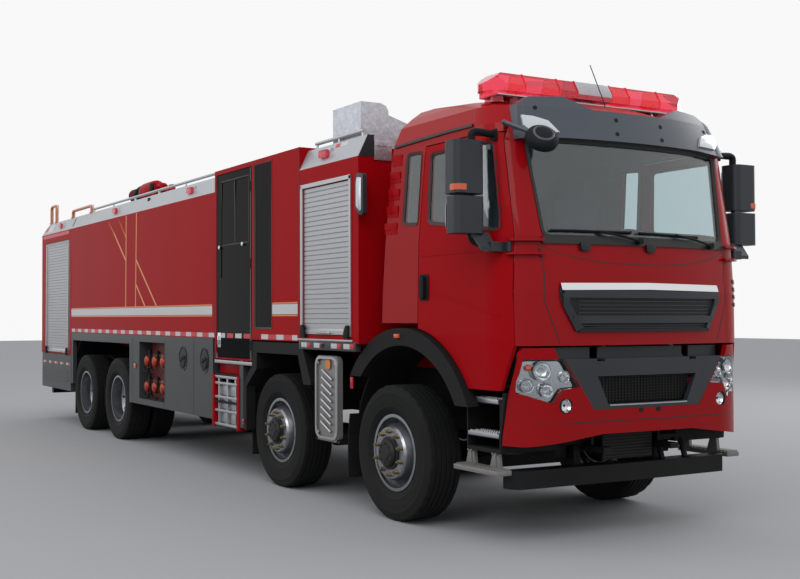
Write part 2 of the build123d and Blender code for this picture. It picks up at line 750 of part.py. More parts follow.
lip_back = 78
lip_half = 780
arm_slot = (405, 475)


def bumper_insert():
    """The dark middle of the bumper with its opening, and a set-back lip up to the cab."""
    clear = along(offset(flat(centre_outline), amount=-1), 1200, 1700)
    insert = clear & (upward(bumper_face(2), 600, 1400) - upward(bumper_face(bumper_wall), 500, 1500))
    insert -= along(flat([(-470, 1168), (-378, 975), (378, 975), (470, 1168)]), 1400, 1700)
    span = block((1300, 1700), (1 - lip_half, lip_half - 1), (grille_top - 12, tongue_top))
    shelf = upward(bumper_face(2), grille_top - 12, grille_top - 1) - upward(bumper_face(lip_back + 12), 1200, 1400)
    wall = upward(bumper_face(lip_back), grille_top - 12, tongue_top) - upward(bumper_face(lip_back + 12), 1200, 1400)
    shelf &= block((1300, 1700), (-735, 735), (1200, 1400))
    lip = shelf + (wall & span)
    slot = block((1300, 1700), arm_slot, (grille_top - 20, 1400))
    return insert + lip - [slot, other_side(slot)]


def underrun_bars():
    front = upward(flat([(1180, -1030), (1252, -1030), (1305, -970), (1330, 0), (1305, 970), (1252, 1030),
                         (1180, 1030)]), 400, 526)
    arms = [block((1080, 1200), (y - 30, y + 30), (410, rail_low - seat_gap)) for y in (385, -385)]
    rear = block((rear_end + 60, rear_end + 160), (-1100, 1100), (385, 485))
    rear_arms = [block((rear_end + 160 - 2, rear_end + 330), (y - 30, y + 30), (395, rail_low - seat_gap))
                 for y in (385, -385)]
    save("underrun_bars", front + arms, rear + rear_arms)


# Steps, mudguards and lower panels

step_well_top = 1060


def steps():
    front = [(x - 9, z) for x, z in end_line[:3]]
    well = across(flat([(845, 640), (front[0][0], 640), front[1], (front[2][0], step_well_top),
                        (845, step_well_top)]), 560, 1085)
    for low, high, reach in ((668, 740, 1212), (764, 975, 1216), (999, 1070, 1248)):
        well -= block((858, reach), (700, 1100), (low, high))
    hang = block(hang_x, hang_y, hang_z)
    for x in (hang_x[0] + 15, hang_x[0] + 290):
        hang += across(flat([(x, hang_z[1] - 5), (x + 100, hang_z[1] - 5), (x + 88, 645), (x + 40, 645)]),
                       hang_y[0], hang_y[0] + 24)
    arm = block((900, 1080), (rail_outer_y + seat_gap, 561), (820, 900))
    cab_step = well + hang + arm
    crew_step_frame = block((-3330, -2680), (1020, 1245), (455, 1000))
    for low, high in ((480, 700), (725, 975)):
        crew_step_frame -= block((-3290, -2720), (1060, 1260), (low, high))
    post = block((-3100, -2900), (rail_outer_y + seat_gap, 1021), (850, 950))
    save("steps", *both(cab_step), *both(crew_step_frame + post), *both(board_carrier()))


hang_x = (800, 1285)
hang_y = (1046, 1165)
hang_z = (505, 533)


def board_carrier():
    """The bar behind the step board, its arms and drops to the frame, and the eyes of its hinge pin."""
    back = body_half - board_thick - 4 - seat_gap
    z = (board_z[0] + 26, board_z[0] + 70)
    carrier = block((board_x[0] + board_lug[0], board_x[1] - board_lug[0]), (back - 55, back - 20), z)
    for x in (board_x[0] + 70, board_x[1] - 130):
        carrier += block((x - 20, x + 20), (rail_outer_y + seat_gap, back), z)
        carrier += block((x - 20, x + 20), (rail_outer_y + seat_gap, rail_outer_y + 40), (z[0] + 34, rail_low + 80))
    y, height = board_axis
    for near, far in ((board_x[0] + board_lug[0], board_x[0] + board_lug[1]),
                      (board_x[1] - board_lug[1], board_x[1] - board_lug[0])):
        carrier += block((near, far), (back - 45, back - 20), (height - 14, z[0] + 20))
        carrier += block((near, far), (back - 21, y), (height - 12, height + 12))
        carrier += rod((near, y, height), (far, y, height), board_eye)
        carrier -= rod((near - 1, y, height), (far + 1, y, height), board_pin + run_gap)
    return carrier


flare_y = (body_half - 155, body_half - 55)
flare_front_low = 950
flare_rear_low = 1095
guard_in = 700
guard_outer = (body_half - 100, body_half - 2)


def mudguards():
    flare = arch_cut(arch_radius, *flare_y) - arch_cut(arch_inner, 1000, body_half + 50)
    flare -= block((700, 2000), (600, 1300), (0, flare_front_low))
    flare -= block((-2000, 0), (600, 1300), (0, flare_rear_low))
    liner = arch_cut(arch_inner + 14, guard_in, flare_y[0] + 5) - arch_cut(arch_inner, 600, 1300)
    liner -= block((700, 2000), (600, 1300), (0, step_well_top + 8))
    first = (flare + liner) & block((-2000, 2000), (600, 1300), (arch_z + 190, 3000))
    first += across(flat([(-620, 780), (-639, 780), (-668, 600), (-668, 250), (-656, 250), (-656, 600)]),
                    guard_in + 100, flare_y[0] + 90)
    band = flat([(-2590, 480), (-2590, 930), (-2390, 1120), (-2378, 1345), (-1370, 1345), (-1200, 1010), (-1200, 985),
                 (-1330, 985), (-1345, 1010), (-1440, 1240), (-2285, 1240), (-2292, 1085), (-2520, 905),
                 (-2520, 480)])
    thin = flat([(-2592, 230), (-2592, 845), (-2297, 1105), (-2297, 1252), (-1408, 1252), (-1288, 1018),
                 (-1288, 750), (-1300, 750), (-1300, 1015), (-1415, 1240), (-2285, 1240), (-2285, 1100),
                 (-2580, 840), (-2580, 230)])
    second = across(band, *guard_outer) + across(thin, guard_in, guard_outer[0] + 1)
    rear_band = flat([(-8560, 180), (-8560, 1010), (-8290, 1262), (-6200, 1262), (-6000, 1010), (-6000, 700),
                      (-6012, 700), (-6012, 1005), (-6205, 1250), (-8285, 1250), (-8548, 1005), (-8548, 180)])
    rear = across(rear_band, 575, body_half - 60)
    rail_side = rail_outer_y + seat_gap
    first += [block((110, 150), (rail_side, 470), (1000, 1370)),
              block((110, 150), (rail_side, guard_in + 20), (1340, 1370)),
              block((-640, -612), (rail_side, guard_in + 20), (800, 860))]
    second += [block((-1298, -1258), (rail_side, guard_in + 20), (860, 940)),
               block((-2620, -2582), (rail_side, guard_in + 20), (780, 840))]
    save("mudguards", *both(first), *both(second), *both(rear))


recess_x = (-5620, -4760)
recess_z = (590, 1280)
recess_depth = 240
port_places = (-4190, -3560)


def lower_panels():
    low, top = 520, panel_low - seat_gap
    skirt = block((-5990, -3345), (620, body_half - 2), (low, top))
    skirt -= block((-5991, -5690), (600, 1180), (low - 5, 1250))
    skirt -= block(recess_x, (body_half - recess_depth, body_half + 5), recess_z)
    for x in port_places:
        skirt -= Pos(x, body_half - 30, 1130) * Rot(90, 0, 0) * Cylinder(112, 60)
    hanger = block((-5400, -3700), (rail_outer_y + seat_gap, 621), (850, 1000))
    skirt += hanger
    arch = block((-8578, -5991), (1190 + seat_gap, body_half - 2), (1250, top))
    arch += block((-8578, -8490), (1190 + seat_gap, body_half - 2), (620, top))
    tail = block((rear_end + 30, -8600), (640, body_half - 2), (500, 1028))
    tail += block((-9600, -8700), (rail_outer_y + seat_gap, 641), (850, 1000))
    narrow = block((-2676, -2594), (900, body_half - 2), (490, crew_low - seat_gap))
    save("lower_panels", *both(skirt + arch), *both(tail), *both(narrow))


coupling_rows = (740, 1050)
coupling_columns = (-5440, -5190, -4940)


def inlet_couplings():
    back = body_half - recess_depth
    pieces = []
    for z in coupling_rows:
        for x in coupling_columns:
            piece = Pos(x, back + seat_gap, z) * turned([(0, 0), (95, 0), (95, 20), (70, 28), (70, 130), (88, 136),
                                                         (88, 200), (60, 212), (0, 212)])
            pieces += both(piece)
    save("inlet_couplings", *pieces)


# Superstructure

slat_pitch = 42
slat_groove = 6
curtain_thick = 26


def shutter_profile(z_low, z_high):
    """Section of a roller curtain in (depth, z): flat slats parted by small grooves."""
    count = int((z_high - z_low) // slat_pitch)
    pitch = (z_high - z_low) / count
    face = []
    for number in range(count):
        z = z_low + number * pitch
        face += [(0, z + slat_groove), (0, z + pitch - slat_groove), (-slat_groove, z + pitch)]
    return flat([(-curtain_thick, z_low), (-slat_groove, z_low)] + face + [(-curtain_thick, z_high)])


shutter_places = (
    # rear x, front x, low z, high z
    (-1325, -520, 1477, 2705),
    (-9990, -8680, 1095, 2735),
)
rear_shutter_half = 950
rear_shutter_z = (1095, 2700)
shutter_depth = 34


def module(x_from, x_to, low, deck):
    """A solid body module with its raised roof deck and its belly between the tyres."""
    deck_half = body_half - roof_edge_in - 62
    section = flat([(-body_half, low), (-body_half, panel_top), (-deck_half, panel_top), (-deck_half, deck),
                    (deck_half, deck), (deck_half, panel_top), (body_half, panel_top), (body_half, low),
                    (500, low), (500, subframe_top + seat_gap), (-500, subframe_top + seat_gap), (-500, low)])
    return along(section, x_from, x_to)


def superstructure():
    locker = module(crew_front + seat_gap, locker_front, panel_low, roof_deck)
    tank = module(tank_rear + seat_gap, crew_rear - seat_gap, panel_low, roof_deck)
    tail = module(rear_end, tank_rear, 1030, roof_deck)
    curtains = []
    for number, (x_from, x_to, low, high) in enumerate(shutter_places):
        hole = block((x_from, x_to), (body_half - shutter_depth, body_half + 5), (low, high))
        if number == 0:
            locker -= both(hole)
        else:
            tail -= both(hole)
        sheet = along(shutter_profile(low + 1, high - 1), x_from + 1, x_to - 1)
        curtains += both(Pos(0, body_half - 8, 0) * sheet)
    low, high = rear_shutter_z
    tail -= block((rear_end - 5, rear_end + shutter_depth), (-rear_shutter_half, rear_shutter_half), (low, high))
    sheet = along(shutter_profile(low + 1, high - 1), 1 - rear_shutter_half, rear_shutter_half - 1)
    curtains.append(Pos(rear_end + 8, 0, 0) * Rot(0, 0, 90) * sheet)
    tail -= rear_corner()
    save("locker_section", locker)
    save("tank_section", tank)
    save("rear_section", tail)
    save("roller_shutters", *curtains)
    roof_edges()
    roof_fittings()


rear_round = 200


def rear_corner():
    """What the rounded upper rear corner leaves off, seen from the side."""
    x, z = rear_end + rear_round, roof_edge_top - rear_round
    middle = rear_round * (1 - cos(pi / 4))
    arc = ThreePointArc((x, roof_edge_top), (rear_end + middle, roof_edge_top - middle), (rear_end, z))
    edges = [arc, Line((rear_end, z), (rear_end - 5, z)), Line((rear_end - 5, z), (rear_end - 5, roof_edge_top + 5)),
             Line((rear_end - 5, roof_edge_top + 5), (x, roof_edge_top + 5)), Line((x, roof_edge_top + 5), arc @ 0)]
    return across(make_face(edges), -body_half - 5, body_half + 5)


roof_edge_rows = (
    # rear x, front x
    (crew_front + 2, locker_front),
    (tank_rear, crew_rear - 2),
    (rear_end, tank_rear - 2),
)


def roof_edges():
    top, inner = roof_edge_top, body_half - roof_edge_in - 60
    low = panel_top + seat_gap
    section = flat([(body_half, low), (body_half - roof_edge_in, top), (inner, top), (inner, low)])
    pieces = []
    for x_from, x_to in roof_edge_rows:
        pieces += both(along(section, x_from, x_to) - rear_corner())
    save("roof_edges", *pieces)


rail_rows = (
    # rear x, front x
    (-7860, -3500),
    (-1300, -480),
)
hoop_rows = (
    # rear x, front x, height over the roof edge
    (-10050, -9760, 270),
    (-8850, -7920, 105),
)
box_x = (-1054, -585)
box_y = (829, 1100)
box_height = 413
cover_rise = (330, 230)


def roof_fittings():
    pieces = []
    y = body_half - roof_edge_in - 30
    rail_z = roof_edge_top + 50
    foot = roof_edge_top + seat_gap
    for x_from, x_to in rail_rows:
        bar = rod((x_from, y, rail_z), (x_to, y, rail_z), 16)
        count = max(2, round((x_to - x_from) / 800))
        for number in range(count + 1):
            x = x_from + 20 + number * (x_to - x_from - 40) / count
            bar += rod((x, y, foot), (x, y, rail_z), 12)
        pieces += both(bar)
    for x_from, x_to, height in hoop_rows:
        top = roof_edge_top + height
        hoop = rod((x_from, y, foot), (x_from, y, top), 17) + rod((x_to, y, foot), (x_to, y, top), 17)
        hoop += rod((x_from, y, top), (x_to, y, top), 17)
        hoop += [Pos(x, y, top) * Sphere(17) for x in (x_from, x_to)]
        pieces += both(hoop)
    save("roof_rails", *pieces)
    low, top = roof_deck + seat_gap, roof_deck + box_height
    near, far = box_y
    cheek = along(flat([(near, low), (near, top - 60), (near + 25, top - 20), (near + 75, top), (far, top),
                        (far, low)]), *box_x)
    side, middle = (roof_deck + rise for rise in cover_rise)
    near -= 2 * seat_gap
    cover = along(flat([(-near, low), (-near, side), (-500, middle), (500, middle), (near, side), (near, low)]),
                  box_x[0] + 40, box_x[1] - 30)
    save("roof_box", *both(cheek), cover)


crew_door_x = (-3250, crew_step)
crew_door_z = (crew_low + 18, 3045)
crew_hinge_in = (24, 12)
crew_pin = 6
crew_pin_length = 16
pane_x = (-2330, -1960)
pane_z = (1470, 3040)


def crew():
    outer = across(flat([(crew_rear, crew_low), (crew_step, crew_low), (crew_step, panel_low),
                         (crew_front, panel_low), (crew_front, crew_top), (crew_rear, crew_top)]),
                   -body_half, body_half)
    wall = crew_wall
    room = across(flat([(crew_rear + wall, crew_low + wall), (crew_step - wall, crew_low + wall),
                        (crew_step - wall, panel_low + wall), (crew_front - wall, panel_low + wall),
                        (crew_front - wall, crew_top - wall), (crew_rear + wall, crew_top - wall)]),
                  wall - body_half, body_half - wall)
    cabin = outer - room
    door_hole = block(crew_door_x, (body_half - wall - 5, body_half + 5), crew_door_z)
    pane_hole = block(pane_x, (body_half - wall - 5, body_half + 5), pane_z)
    pin_x, pin_y = crew_door_x[1] - crew_hinge_in[0], body_half - crew_hinge_in[1]
    low, high = crew_door_z[0] + door_gap, crew_door_z[1] - door_gap
    pin_low, pin_high = low - crew_pin_length, high + crew_pin_length
    pin_hole = rod((pin_x, pin_y, pin_low - 1), (pin_x, pin_y, pin_high + 1), crew_pin + run_gap)
    for hole in both(door_hole) + both(pane_hole) + both(pin_hole):
        cabin -= hole
    save("crew_cabin", cabin)
    pane = block((pane_x[0] + seat_gap, pane_x[1] - seat_gap), (body_half - 16, body_half - 8),
                 (pane_z[0] + seat_gap, pane_z[1] - seat_gap))
    save("crew_panes", *both(pane))
    bench = block((-2200, -1480), (-1100, 1100), (panel_low + wall + seat_gap, 1560))
    cushion = block((-2230, -1560), (-1090, 1090), (1559, 1690))
    back = block((-1600, -1480), (-1090, 1090), (1559, 2350))
    save("crew_bench", bench + cushion + back)
    leaf = block((crew_door_x[0] + door_gap, crew_door_x[1] - door_gap), (body_half - wall + 3, body_half - 2),
                 (low, high))
    window_x, window_z = (-3130, -2510), (1980, 2950)
    leaf -= block(window_x, (body_half - 100, body_half + 10), window_z)
    leaf += rod((pin_x, pin_y, pin_low), (pin_x, pin_y, pin_high), crew_pin) - block(
        (pin_x - 20, pin_x + 20), (pin_y - 20, pin_y + 20), (low + 20, high - 20))
    glass = block((window_x[0] + seat_gap, window_x[1] - seat_gap), (body_half - 16, body_half - 8),
                  (window_z[0] + seat_gap, window_z[1] - seat_gap))
    for side, turn in (("left", lambda shape: shape), ("right", other_side)):
        save(f"crew_door_{side}", turn(leaf), turn(glass))


board_x = (-1100, -715)
board_z = (530, 1250)
board_thick = 42
board_axis = (body_half - 10, board_z[0] + 6)
board_pin = 7
board_eye = 15
board_lug = (8, 24)
board_notch = 30


def step_boards():
    face = across(flat([(board_x[0], board_z[0]), (board_x[1], board_z[0]), (board_x[1], board_z[1]),
                        (board_x[0], board_z[1])], 60), body_half - board_thick - 4, body_half - 4)
    face -= across(flat([(board_x[0] + 30, board_z[0] + 30), (board_x[1] - 30, board_z[0] + 30),
                         (board_x[1] - 30, board_z[1] - 30), (board_x[0] + 30, board_z[1] - 30)], 40),
                   body_half - 12, body_half)
    y, z = board_axis
    for near, far in ((board_x[0] - 1, board_x[0] + board_notch), (board_x[1] - board_notch, board_x[1] + 1)):
        face -= block((near, far), (body_half - 100, body_half + 10), (board_z[0] - 1, z + 24))
    face += rod((board_x[0] + board_lug[0] - 2, y, z), (board_x[1] - board_lug[0] + 2, y, z), board_pin)
    for side, turn in (("left", lambda shape: shape), ("right", other_side)):
        save(f"step_board_{side}", turn(face))


monitor_x = -8150
monitor_base_top = roof_deck + 350
monitor_axis_z = roof_deck + 540
barrel_length = 1220


def monitor():
    base = rod((monitor_x, 0, roof_deck + seat_gap), (monitor_x, 0, roof_deck + 30), 160)
    base += rod((monitor_x, 0, roof_deck + 29), (monitor_x, 0, monitor_base_top), 75)
    save("monitor_base", base)
    low = monitor_base_top + seat_gap
    head = rod((monitor_x, 0, low), (monitor_x, 0, low + 50), 120)
    head += rod((monitor_x, 0, low + 49), (monitor_x, 0, monitor_axis_z - 120), 70)
    fork = block((monitor_x - 60, monitor_x + 60), (-150, 150), (monitor_axis_z - 142, monitor_axis_z - 117))
    for y in (-150, 120):
        fork += block((monitor_x - 60, monitor_x + 60), (y, y + 30), (monitor_axis_z - 130, monitor_axis_z + 60))
    fork += rod((monitor_x, -150, monitor_axis_z), (monitor_x, 150, monitor_axis_z), 25)
    save("monitor_head", head + fork)
    barrel = Pos(monitor_x, 0, monitor_axis_z) * barrel_shape()
    save("monitor_barrel", barrel)


def barrel_shape():
    """The barrel on its trunnion, lying to the rear: throat, round body and nozzle."""
    profile = flat([(0, -95), (50, -95), (75, -58), (75, 130), (140, 220), (140, 640), (104, 740), (72, 780), (72, 900),
                    (100, 930), (100, barrel_length), (0, barrel_length)])
    return Rot(0, 0, 90) * revolve(profile, Axis.Y) - rod((0, -200, 0), (0, 200, 0), 25 + run_gap)


os.makedirs("parts", exist_ok=True)
wheels()
axles()
chassis()
cab()
mirrors()
cab_fittings()
bumper()
underrun_bars()
steps()
mudguards()
lower_panels()
inlet_couplings()
superstructure()
crew()
step_boards()
monitor()
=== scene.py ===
import bmesh
import bpy
from math import cos, pi, radians, sin
from mathutils import Matrix, Vector
from mathutils.bvhtree import BVHTree


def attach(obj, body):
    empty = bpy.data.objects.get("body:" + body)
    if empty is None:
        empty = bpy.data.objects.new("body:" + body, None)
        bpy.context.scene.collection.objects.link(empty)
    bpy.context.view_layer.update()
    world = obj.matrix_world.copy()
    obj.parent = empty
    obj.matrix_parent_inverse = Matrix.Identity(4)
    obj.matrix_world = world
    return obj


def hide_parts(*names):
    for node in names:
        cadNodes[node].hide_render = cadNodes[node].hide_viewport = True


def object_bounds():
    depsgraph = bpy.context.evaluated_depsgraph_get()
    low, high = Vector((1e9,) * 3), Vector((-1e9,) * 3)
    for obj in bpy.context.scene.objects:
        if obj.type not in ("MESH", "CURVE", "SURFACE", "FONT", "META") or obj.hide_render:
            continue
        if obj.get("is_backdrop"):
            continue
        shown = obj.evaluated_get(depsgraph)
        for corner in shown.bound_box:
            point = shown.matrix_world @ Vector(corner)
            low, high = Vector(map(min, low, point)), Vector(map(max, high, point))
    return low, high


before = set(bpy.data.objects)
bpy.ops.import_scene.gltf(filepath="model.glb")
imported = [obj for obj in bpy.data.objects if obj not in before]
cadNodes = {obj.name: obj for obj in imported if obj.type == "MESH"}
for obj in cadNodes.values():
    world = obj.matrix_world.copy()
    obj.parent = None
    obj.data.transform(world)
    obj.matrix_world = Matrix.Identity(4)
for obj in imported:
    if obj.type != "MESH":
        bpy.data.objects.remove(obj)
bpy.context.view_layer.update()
sides = (("left", 1), ("right", -1))

# Metres, +X forward, +Y left, +Z up. Pieces are drawn with x = 0 at the first axle, as in the
# part's source, and finishPiece shifts them to the frame's origin by this length.
firstAxle = 4.355
forward, leftward, upward = Vector((1, 0, 0)), Vector((0, 1, 0)), Vector((0, 0, 1))
alongX, alongY, alongZ = 0, 1, 2
weld = 0.00002     # points closer than this become one
farOut = 6     # metres from the first axle's middle: before, beside or above the whole truck
print("frame loaded")


def bevelEdges(bm, edges, width, steps=2):
    # a soft edge, a little fuller than a quarter circle
    bmesh.ops.bevel(bm, geom=list(edges), offset=width, segments=steps, profile=0.6, affect="EDGES")


def addBlock(bm, x, y, z, edge=0.002):
    made = bmesh.ops.create_cube(bm, size=1)["verts"]
    size = Vector((x[1] - x[0], y[1] - y[0], z[1] - z[0]))
    middle = Vector((x[0] + x[1], y[0] + y[1], z[0] + z[1])) / 2
    for v in made:
        v.co = v.co * size + middle
    if edge:
        bevelEdges(bm, {e for v in made for e in v.link_edges}, min(edge, min(size) * 0.45))


def onAxis(axis, a, b, c):
    # a point from its two outline values and its place along the axis
    return Vector(((c, a, b), (a, c, b), (a, b, c))[axis])


def addPrism(bm, outline, axis, low, high, edge=0.0, steps=2):
    # outline in (y, z) alongX, in (x, z) alongY or in (x, y) alongZ, from low to high
    lower = [bm.verts.new(onAxis(axis, a, b, low)) for a, b in outline]
    upper = [bm.verts.new(onAxis(axis, a, b, high)) for a, b in outline]
    bm.faces.new(lower)
    bm.faces.new(upper[::-1])
    count = len(outline)
    for n in range(count):
        bm.faces.new((lower[n], upper[n], upper[(n + 1) % count], lower[(n + 1) % count]))
    if edge:
        rims = {e for v in lower + upper for e in v.link_edges
                if (e.verts[0] in lower) == (e.verts[1] in lower)}
        bevelEdges(bm, rims, edge, steps)


def rectangle(left, right, low, high):
    return [(left, low), (right, low), (right, high), (left, high)]


def addPlate(bm, across, upright, corner, axis, depth, edge=0.0, steps=2):
    # a flat block with rounded corners and softened rims
    addPrism(bm, roundedOutline(rectangle(*across, *upright), corner), axis, *depth, edge, steps)


def frameAt(direction):
    side = direction.cross(upward)
    if side.length < 1e-4:
        side = forward.copy()
    side.normalize()
    return side, side.cross(direction).normalized()


def spotsAround(count, radius, start=0.0):
    # offsets of evenly spaced points on a circle, start as a share of one gap
    turns = [2 * pi * (n + start) / count for n in range(count)]
    return [(radius * cos(turn), radius * sin(turn)) for turn in turns]


def addTurned(bm, profile, centre, direction, steps=32, closed=False, capped=False, notch=None):
    # profile in (radius, place along the direction); notch changes a radius from row and step
    side, up = frameAt(direction)
    centre = Vector(centre)
    rows = []
    for row, (radius, along) in enumerate(profile):
        radii = [notch(row, n, radius) if notch else radius for n in range(steps)]
        rows.append([bm.verts.new(centre + direction * along + r * (side * a + up * b))
                     for r, (a, b) in zip(radii, spotsAround(steps, 1))])
    for one, two in list(zip(rows, rows[1:])) + ([(rows[-1], rows[0])] if closed else []):
        for n in range(steps):
            bm.faces.new((one[n], one[(n + 1) % steps], two[(n + 1) % steps], two[n]))
    if capped:
        for ring, (radius, _) in ((rows[0], profile[0]), (rows[-1], profile[-1])):
            if radius > 0:
                bm.faces.new(ring)


def addRod(bm, start, end, radius, steps=16, tip=None):
    # tip: the radius at the end, where it differs
    run = Vector(end) - Vector(start)
    profile = [(radius, 0), (radius if tip is None else tip, run.length)]
    addTurned(bm, profile, start, run.normalized(), steps, capped=True)


def roundCorner(before, corner, after, radius, steps=6):
    # points of a soft corner between two straight runs
    back, ahead = before - corner, after - corner
    reach = min(radius, back.length * 0.49, ahead.length * 0.49)
    first, last = corner + back.normalized() * reach, corner + ahead.normalized() * reach
    shares = [n / steps for n in range(steps + 1)]
    return [first * (1 - t) ** 2 + corner * (2 * t * (1 - t)) + last * t ** 2 for t in shares]


def roundedOutline(points, radius, steps=5):
    points = [Vector(point) for point in points]
    neighbours = zip(points[-1:] + points, points, points[1:] + points[:1])
    return [spot for before, corner, after in neighbours
            for spot in roundCorner(before, corner, after, radius, steps)]


def addTube(bm, points, radius, bend=0.05, steps=12):
    # a round tube along straight runs, each corner bent to the radius bend
    points = [Vector(point) for point in points]
    path = points[:1]
    for before, corner, after in zip(points, points[1:], points[2:]):
        path += roundCorner(before, corner, after, bend)
    path += points[-1:]
    rings, side = [], None
    for n, point in enumerate(path):
        way = (path[min(n + 1, len(path) - 1)] - path[max(n - 1, 0)]).normalized()
        side = side or frameAt(way)[0]
        side = (side - way * side.dot(way)).normalized()
        up = side.cross(way)
        rings.append([bm.verts.new(point + side * a + up * b) for a, b in spotsAround(steps, radius)])
    for one, two in zip(rings, rings[1:]):
        for n in range(steps):
            bm.faces.new((one[n], two[n], two[(n + 1) % steps], one[(n + 1) % steps]))
    bm.faces.new(rings[0])
    bm.faces.new(rings[-1])


def surfaceOf(*names):
    verts, faces = [], []
    for name in names:
        mesh = cadNodes[name].data
        start = len(verts)
        verts += [v.co - forward * firstAxle for v in mesh.vertices]
        faces += [[start + i for i in p.vertices] for p in mesh.polygons]
    return BVHTree.FromPolygons(verts, faces)


def dropOn(surface, axis, a, b):
    # the outermost surface point, seen from the front alongX, from the left alongY or from above
    way = onAxis(axis, 0, 0, -1)
    spot, normal, _, _ = surface.ray_cast(onAxis(axis, a, b, farOut), way)
    if spot is None:
        return None, None
    return spot, -normal if normal.dot(way) > 0 else normal


def layStrip(bm, surface, axis, path, width, lift, depth=0.004, step=0.04, closed=False):
    # a thin ribbon on a surface along a path, in the view along an axis
    points = [Vector(point) for point in path]
    if closed:
        points.append(points[0])
    dense = [points[0]]
    for one, two in zip(points, points[1:]):
        count = max(1, int((two - one).length / step))
        dense += [one.lerp(two, (k + 1) / count) for k in range(count)]
    if closed:
        dense.pop()
    total = len(dense)
    rows = []
    for n, point in enumerate(dense):
        before = dense[n - 1] if closed else dense[max(n - 1, 0)]
        after = dense[(n + 1) % total] if closed else dense[min(n + 1, total - 1)]
        along = after - before
        if along.length < 1e-6:
            continue
        along.normalize()
        across = Vector((-along.y, along.x))
        row = []
        for share in (-0.5, 0.5):
            edge = point + across * width * share
            spot, normal = dropOn(surface, axis, *edge)
            if spot is None:
                spot, normal = dropOn(surface, axis, *point)
            if spot:
                row.append((spot, normal))
        if len(row) == 2:
            (left, leftWay), (right, rightWay) = row
            rows.append([bm.verts.new(spot + way * height) for spot, way, height in
                         ((left, leftWay, lift - depth), (left, leftWay, lift),
                          (right, rightWay, lift), (right, rightWay, lift - depth))])
    for one, two in list(zip(rows, rows[1:])) + ([(rows[-1], rows[0])] if closed and len(rows) > 2 else []):
        for k in range(3):
            bm.faces.new((one[k], two[k], two[k + 1], one[k + 1]))


def layFilm(bm, surface, left, right, z, height, lift=0.001):
    # a level strip of film on the side of the body
    layStrip(bm, surface, alongY, ((left, z), (right, z)), height, lift, 0.001, 1)


def mirrored(bm):
    other = bm.copy()
    for v in other.verts:
        v.co.y = -v.co.y
    bmesh.ops.reverse_faces(other, faces=other.faces[:])
    return other


def finishPiece(name, bm, material, body="chassis", replaces=(), smooth=35, both=False):
    # smooth: degrees from which an edge stays sharp; both: with its mirror image on the other side
    if both:
        other = mirrored(bm)
        carrier = bpy.data.meshes.new("carrier")
        other.to_mesh(carrier)
        bm.from_mesh(carrier)
        other.free()
        bpy.data.meshes.remove(carrier)
    bmesh.ops.remove_doubles(bm, verts=bm.verts[:], dist=weld)
    bmesh.ops.recalc_face_normals(bm, faces=bm.faces[:])
    mesh = bpy.data.meshes.new(name)
    bm.to_mesh(mesh)
    bm.free()
    mesh.transform(Matrix.Translation(forward * firstAxle))
    mesh.shade_smooth()
    mesh.set_sharp_from_angle(angle=radians(smooth))
    mesh.materials.append(material)
    piece = bpy.data.objects.new(name, mesh)
    bpy.context.scene.collection.objects.link(piece)
    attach(piece, body)
    if replaces:
        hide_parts(*replaces)


def finishPair(name, bm, material, body, replaces=(), smooth=35):
    # the piece is drawn on the left side; the right side gets its mirror image
    for (side, _), drawn in zip(sides, (bm, mirrored(bm))):
        replaced = [f"{node}_{side}" for node in replaces]
        finishPiece(f"{name}_{side}", drawn, material, f"{body}_{side}", replaced, smooth)


def copyOf(node):
    bm = bmesh.new()
    bm.from_mesh(cadNodes[node].data)
    bmesh.ops.translate(bm, verts=bm.verts[:], vec=forward * -firstAxle)
    return bm


def keepPart(name, node, material, body, test, replaces=()):
    # the loose parts of a CAD node that pass a test on their low and high corners, as one piece
    bm = copyOf(node)
    bmesh.ops.remove_doubles(bm, verts=bm.verts[:], dist=weld)
    left, drop = set(bm.verts), []
    while left:
        heap, group = [left.pop()], []
        while heap:
            v = heap.pop()
            group.append(v)
            near = {e.other_vert(v) for e in v.link_edges} & left
            left -= near
            heap += near
        low, high = (Vector([pick(v.co[k] for v in group) for k in range(3)]) for pick in (min, max))
        if not test(low, high):
            drop += group
    bmesh.ops.delete(bm, geom=drop, context="VERTS")
    finishPiece(name, bm, material, body, replaces=replaces, smooth=25)


def copyFaces(name, node, material, body, test, lift=0.004):
    # a facing laid on chosen faces of a node, as lining or end plate
    bm = copyOf(node)
    bm.normal_update()
    others = [face for face in bm.faces if not test(face.calc_center_median(), face.normal)]
    bmesh.ops.delete(bm, geom=others, context="FACES")
    bmesh.ops.remove_doubles(bm, verts=bm.verts[:], dist=weld)
    bm.normal_update()
    for v in bm.verts:
        v.co += v.normal * lift
    finishPiece(name, bm, material, body, smooth=50)


def fromHex(text):
    # an sRGB colour as written, turned linear
    values = [int(text[n:n + 2], 16) / 255 for n in (1, 3, 5)]
    return [v / 12.92 if v <= 0.04045 else ((v + 0.055) / 1.055) ** 2.4 for v in values] + [1]


def addNode(tree, kind, settings=None, inputs=None):
    node = tree.nodes.new(kind)
    for name, value in (settings or {}).items():
        setattr(node, name, value)
    for name, value in (inputs or {}).items():
        socket = node.inputs[name]
        if isinstance(value, bpy.types.NodeSocket):
            tree.links.new(value, socket)
        else:
            socket.default_value = value
    return node


def perMetre(millimetres):
    # a texture scale whose features are that far apart
    return 1000 / millimetres


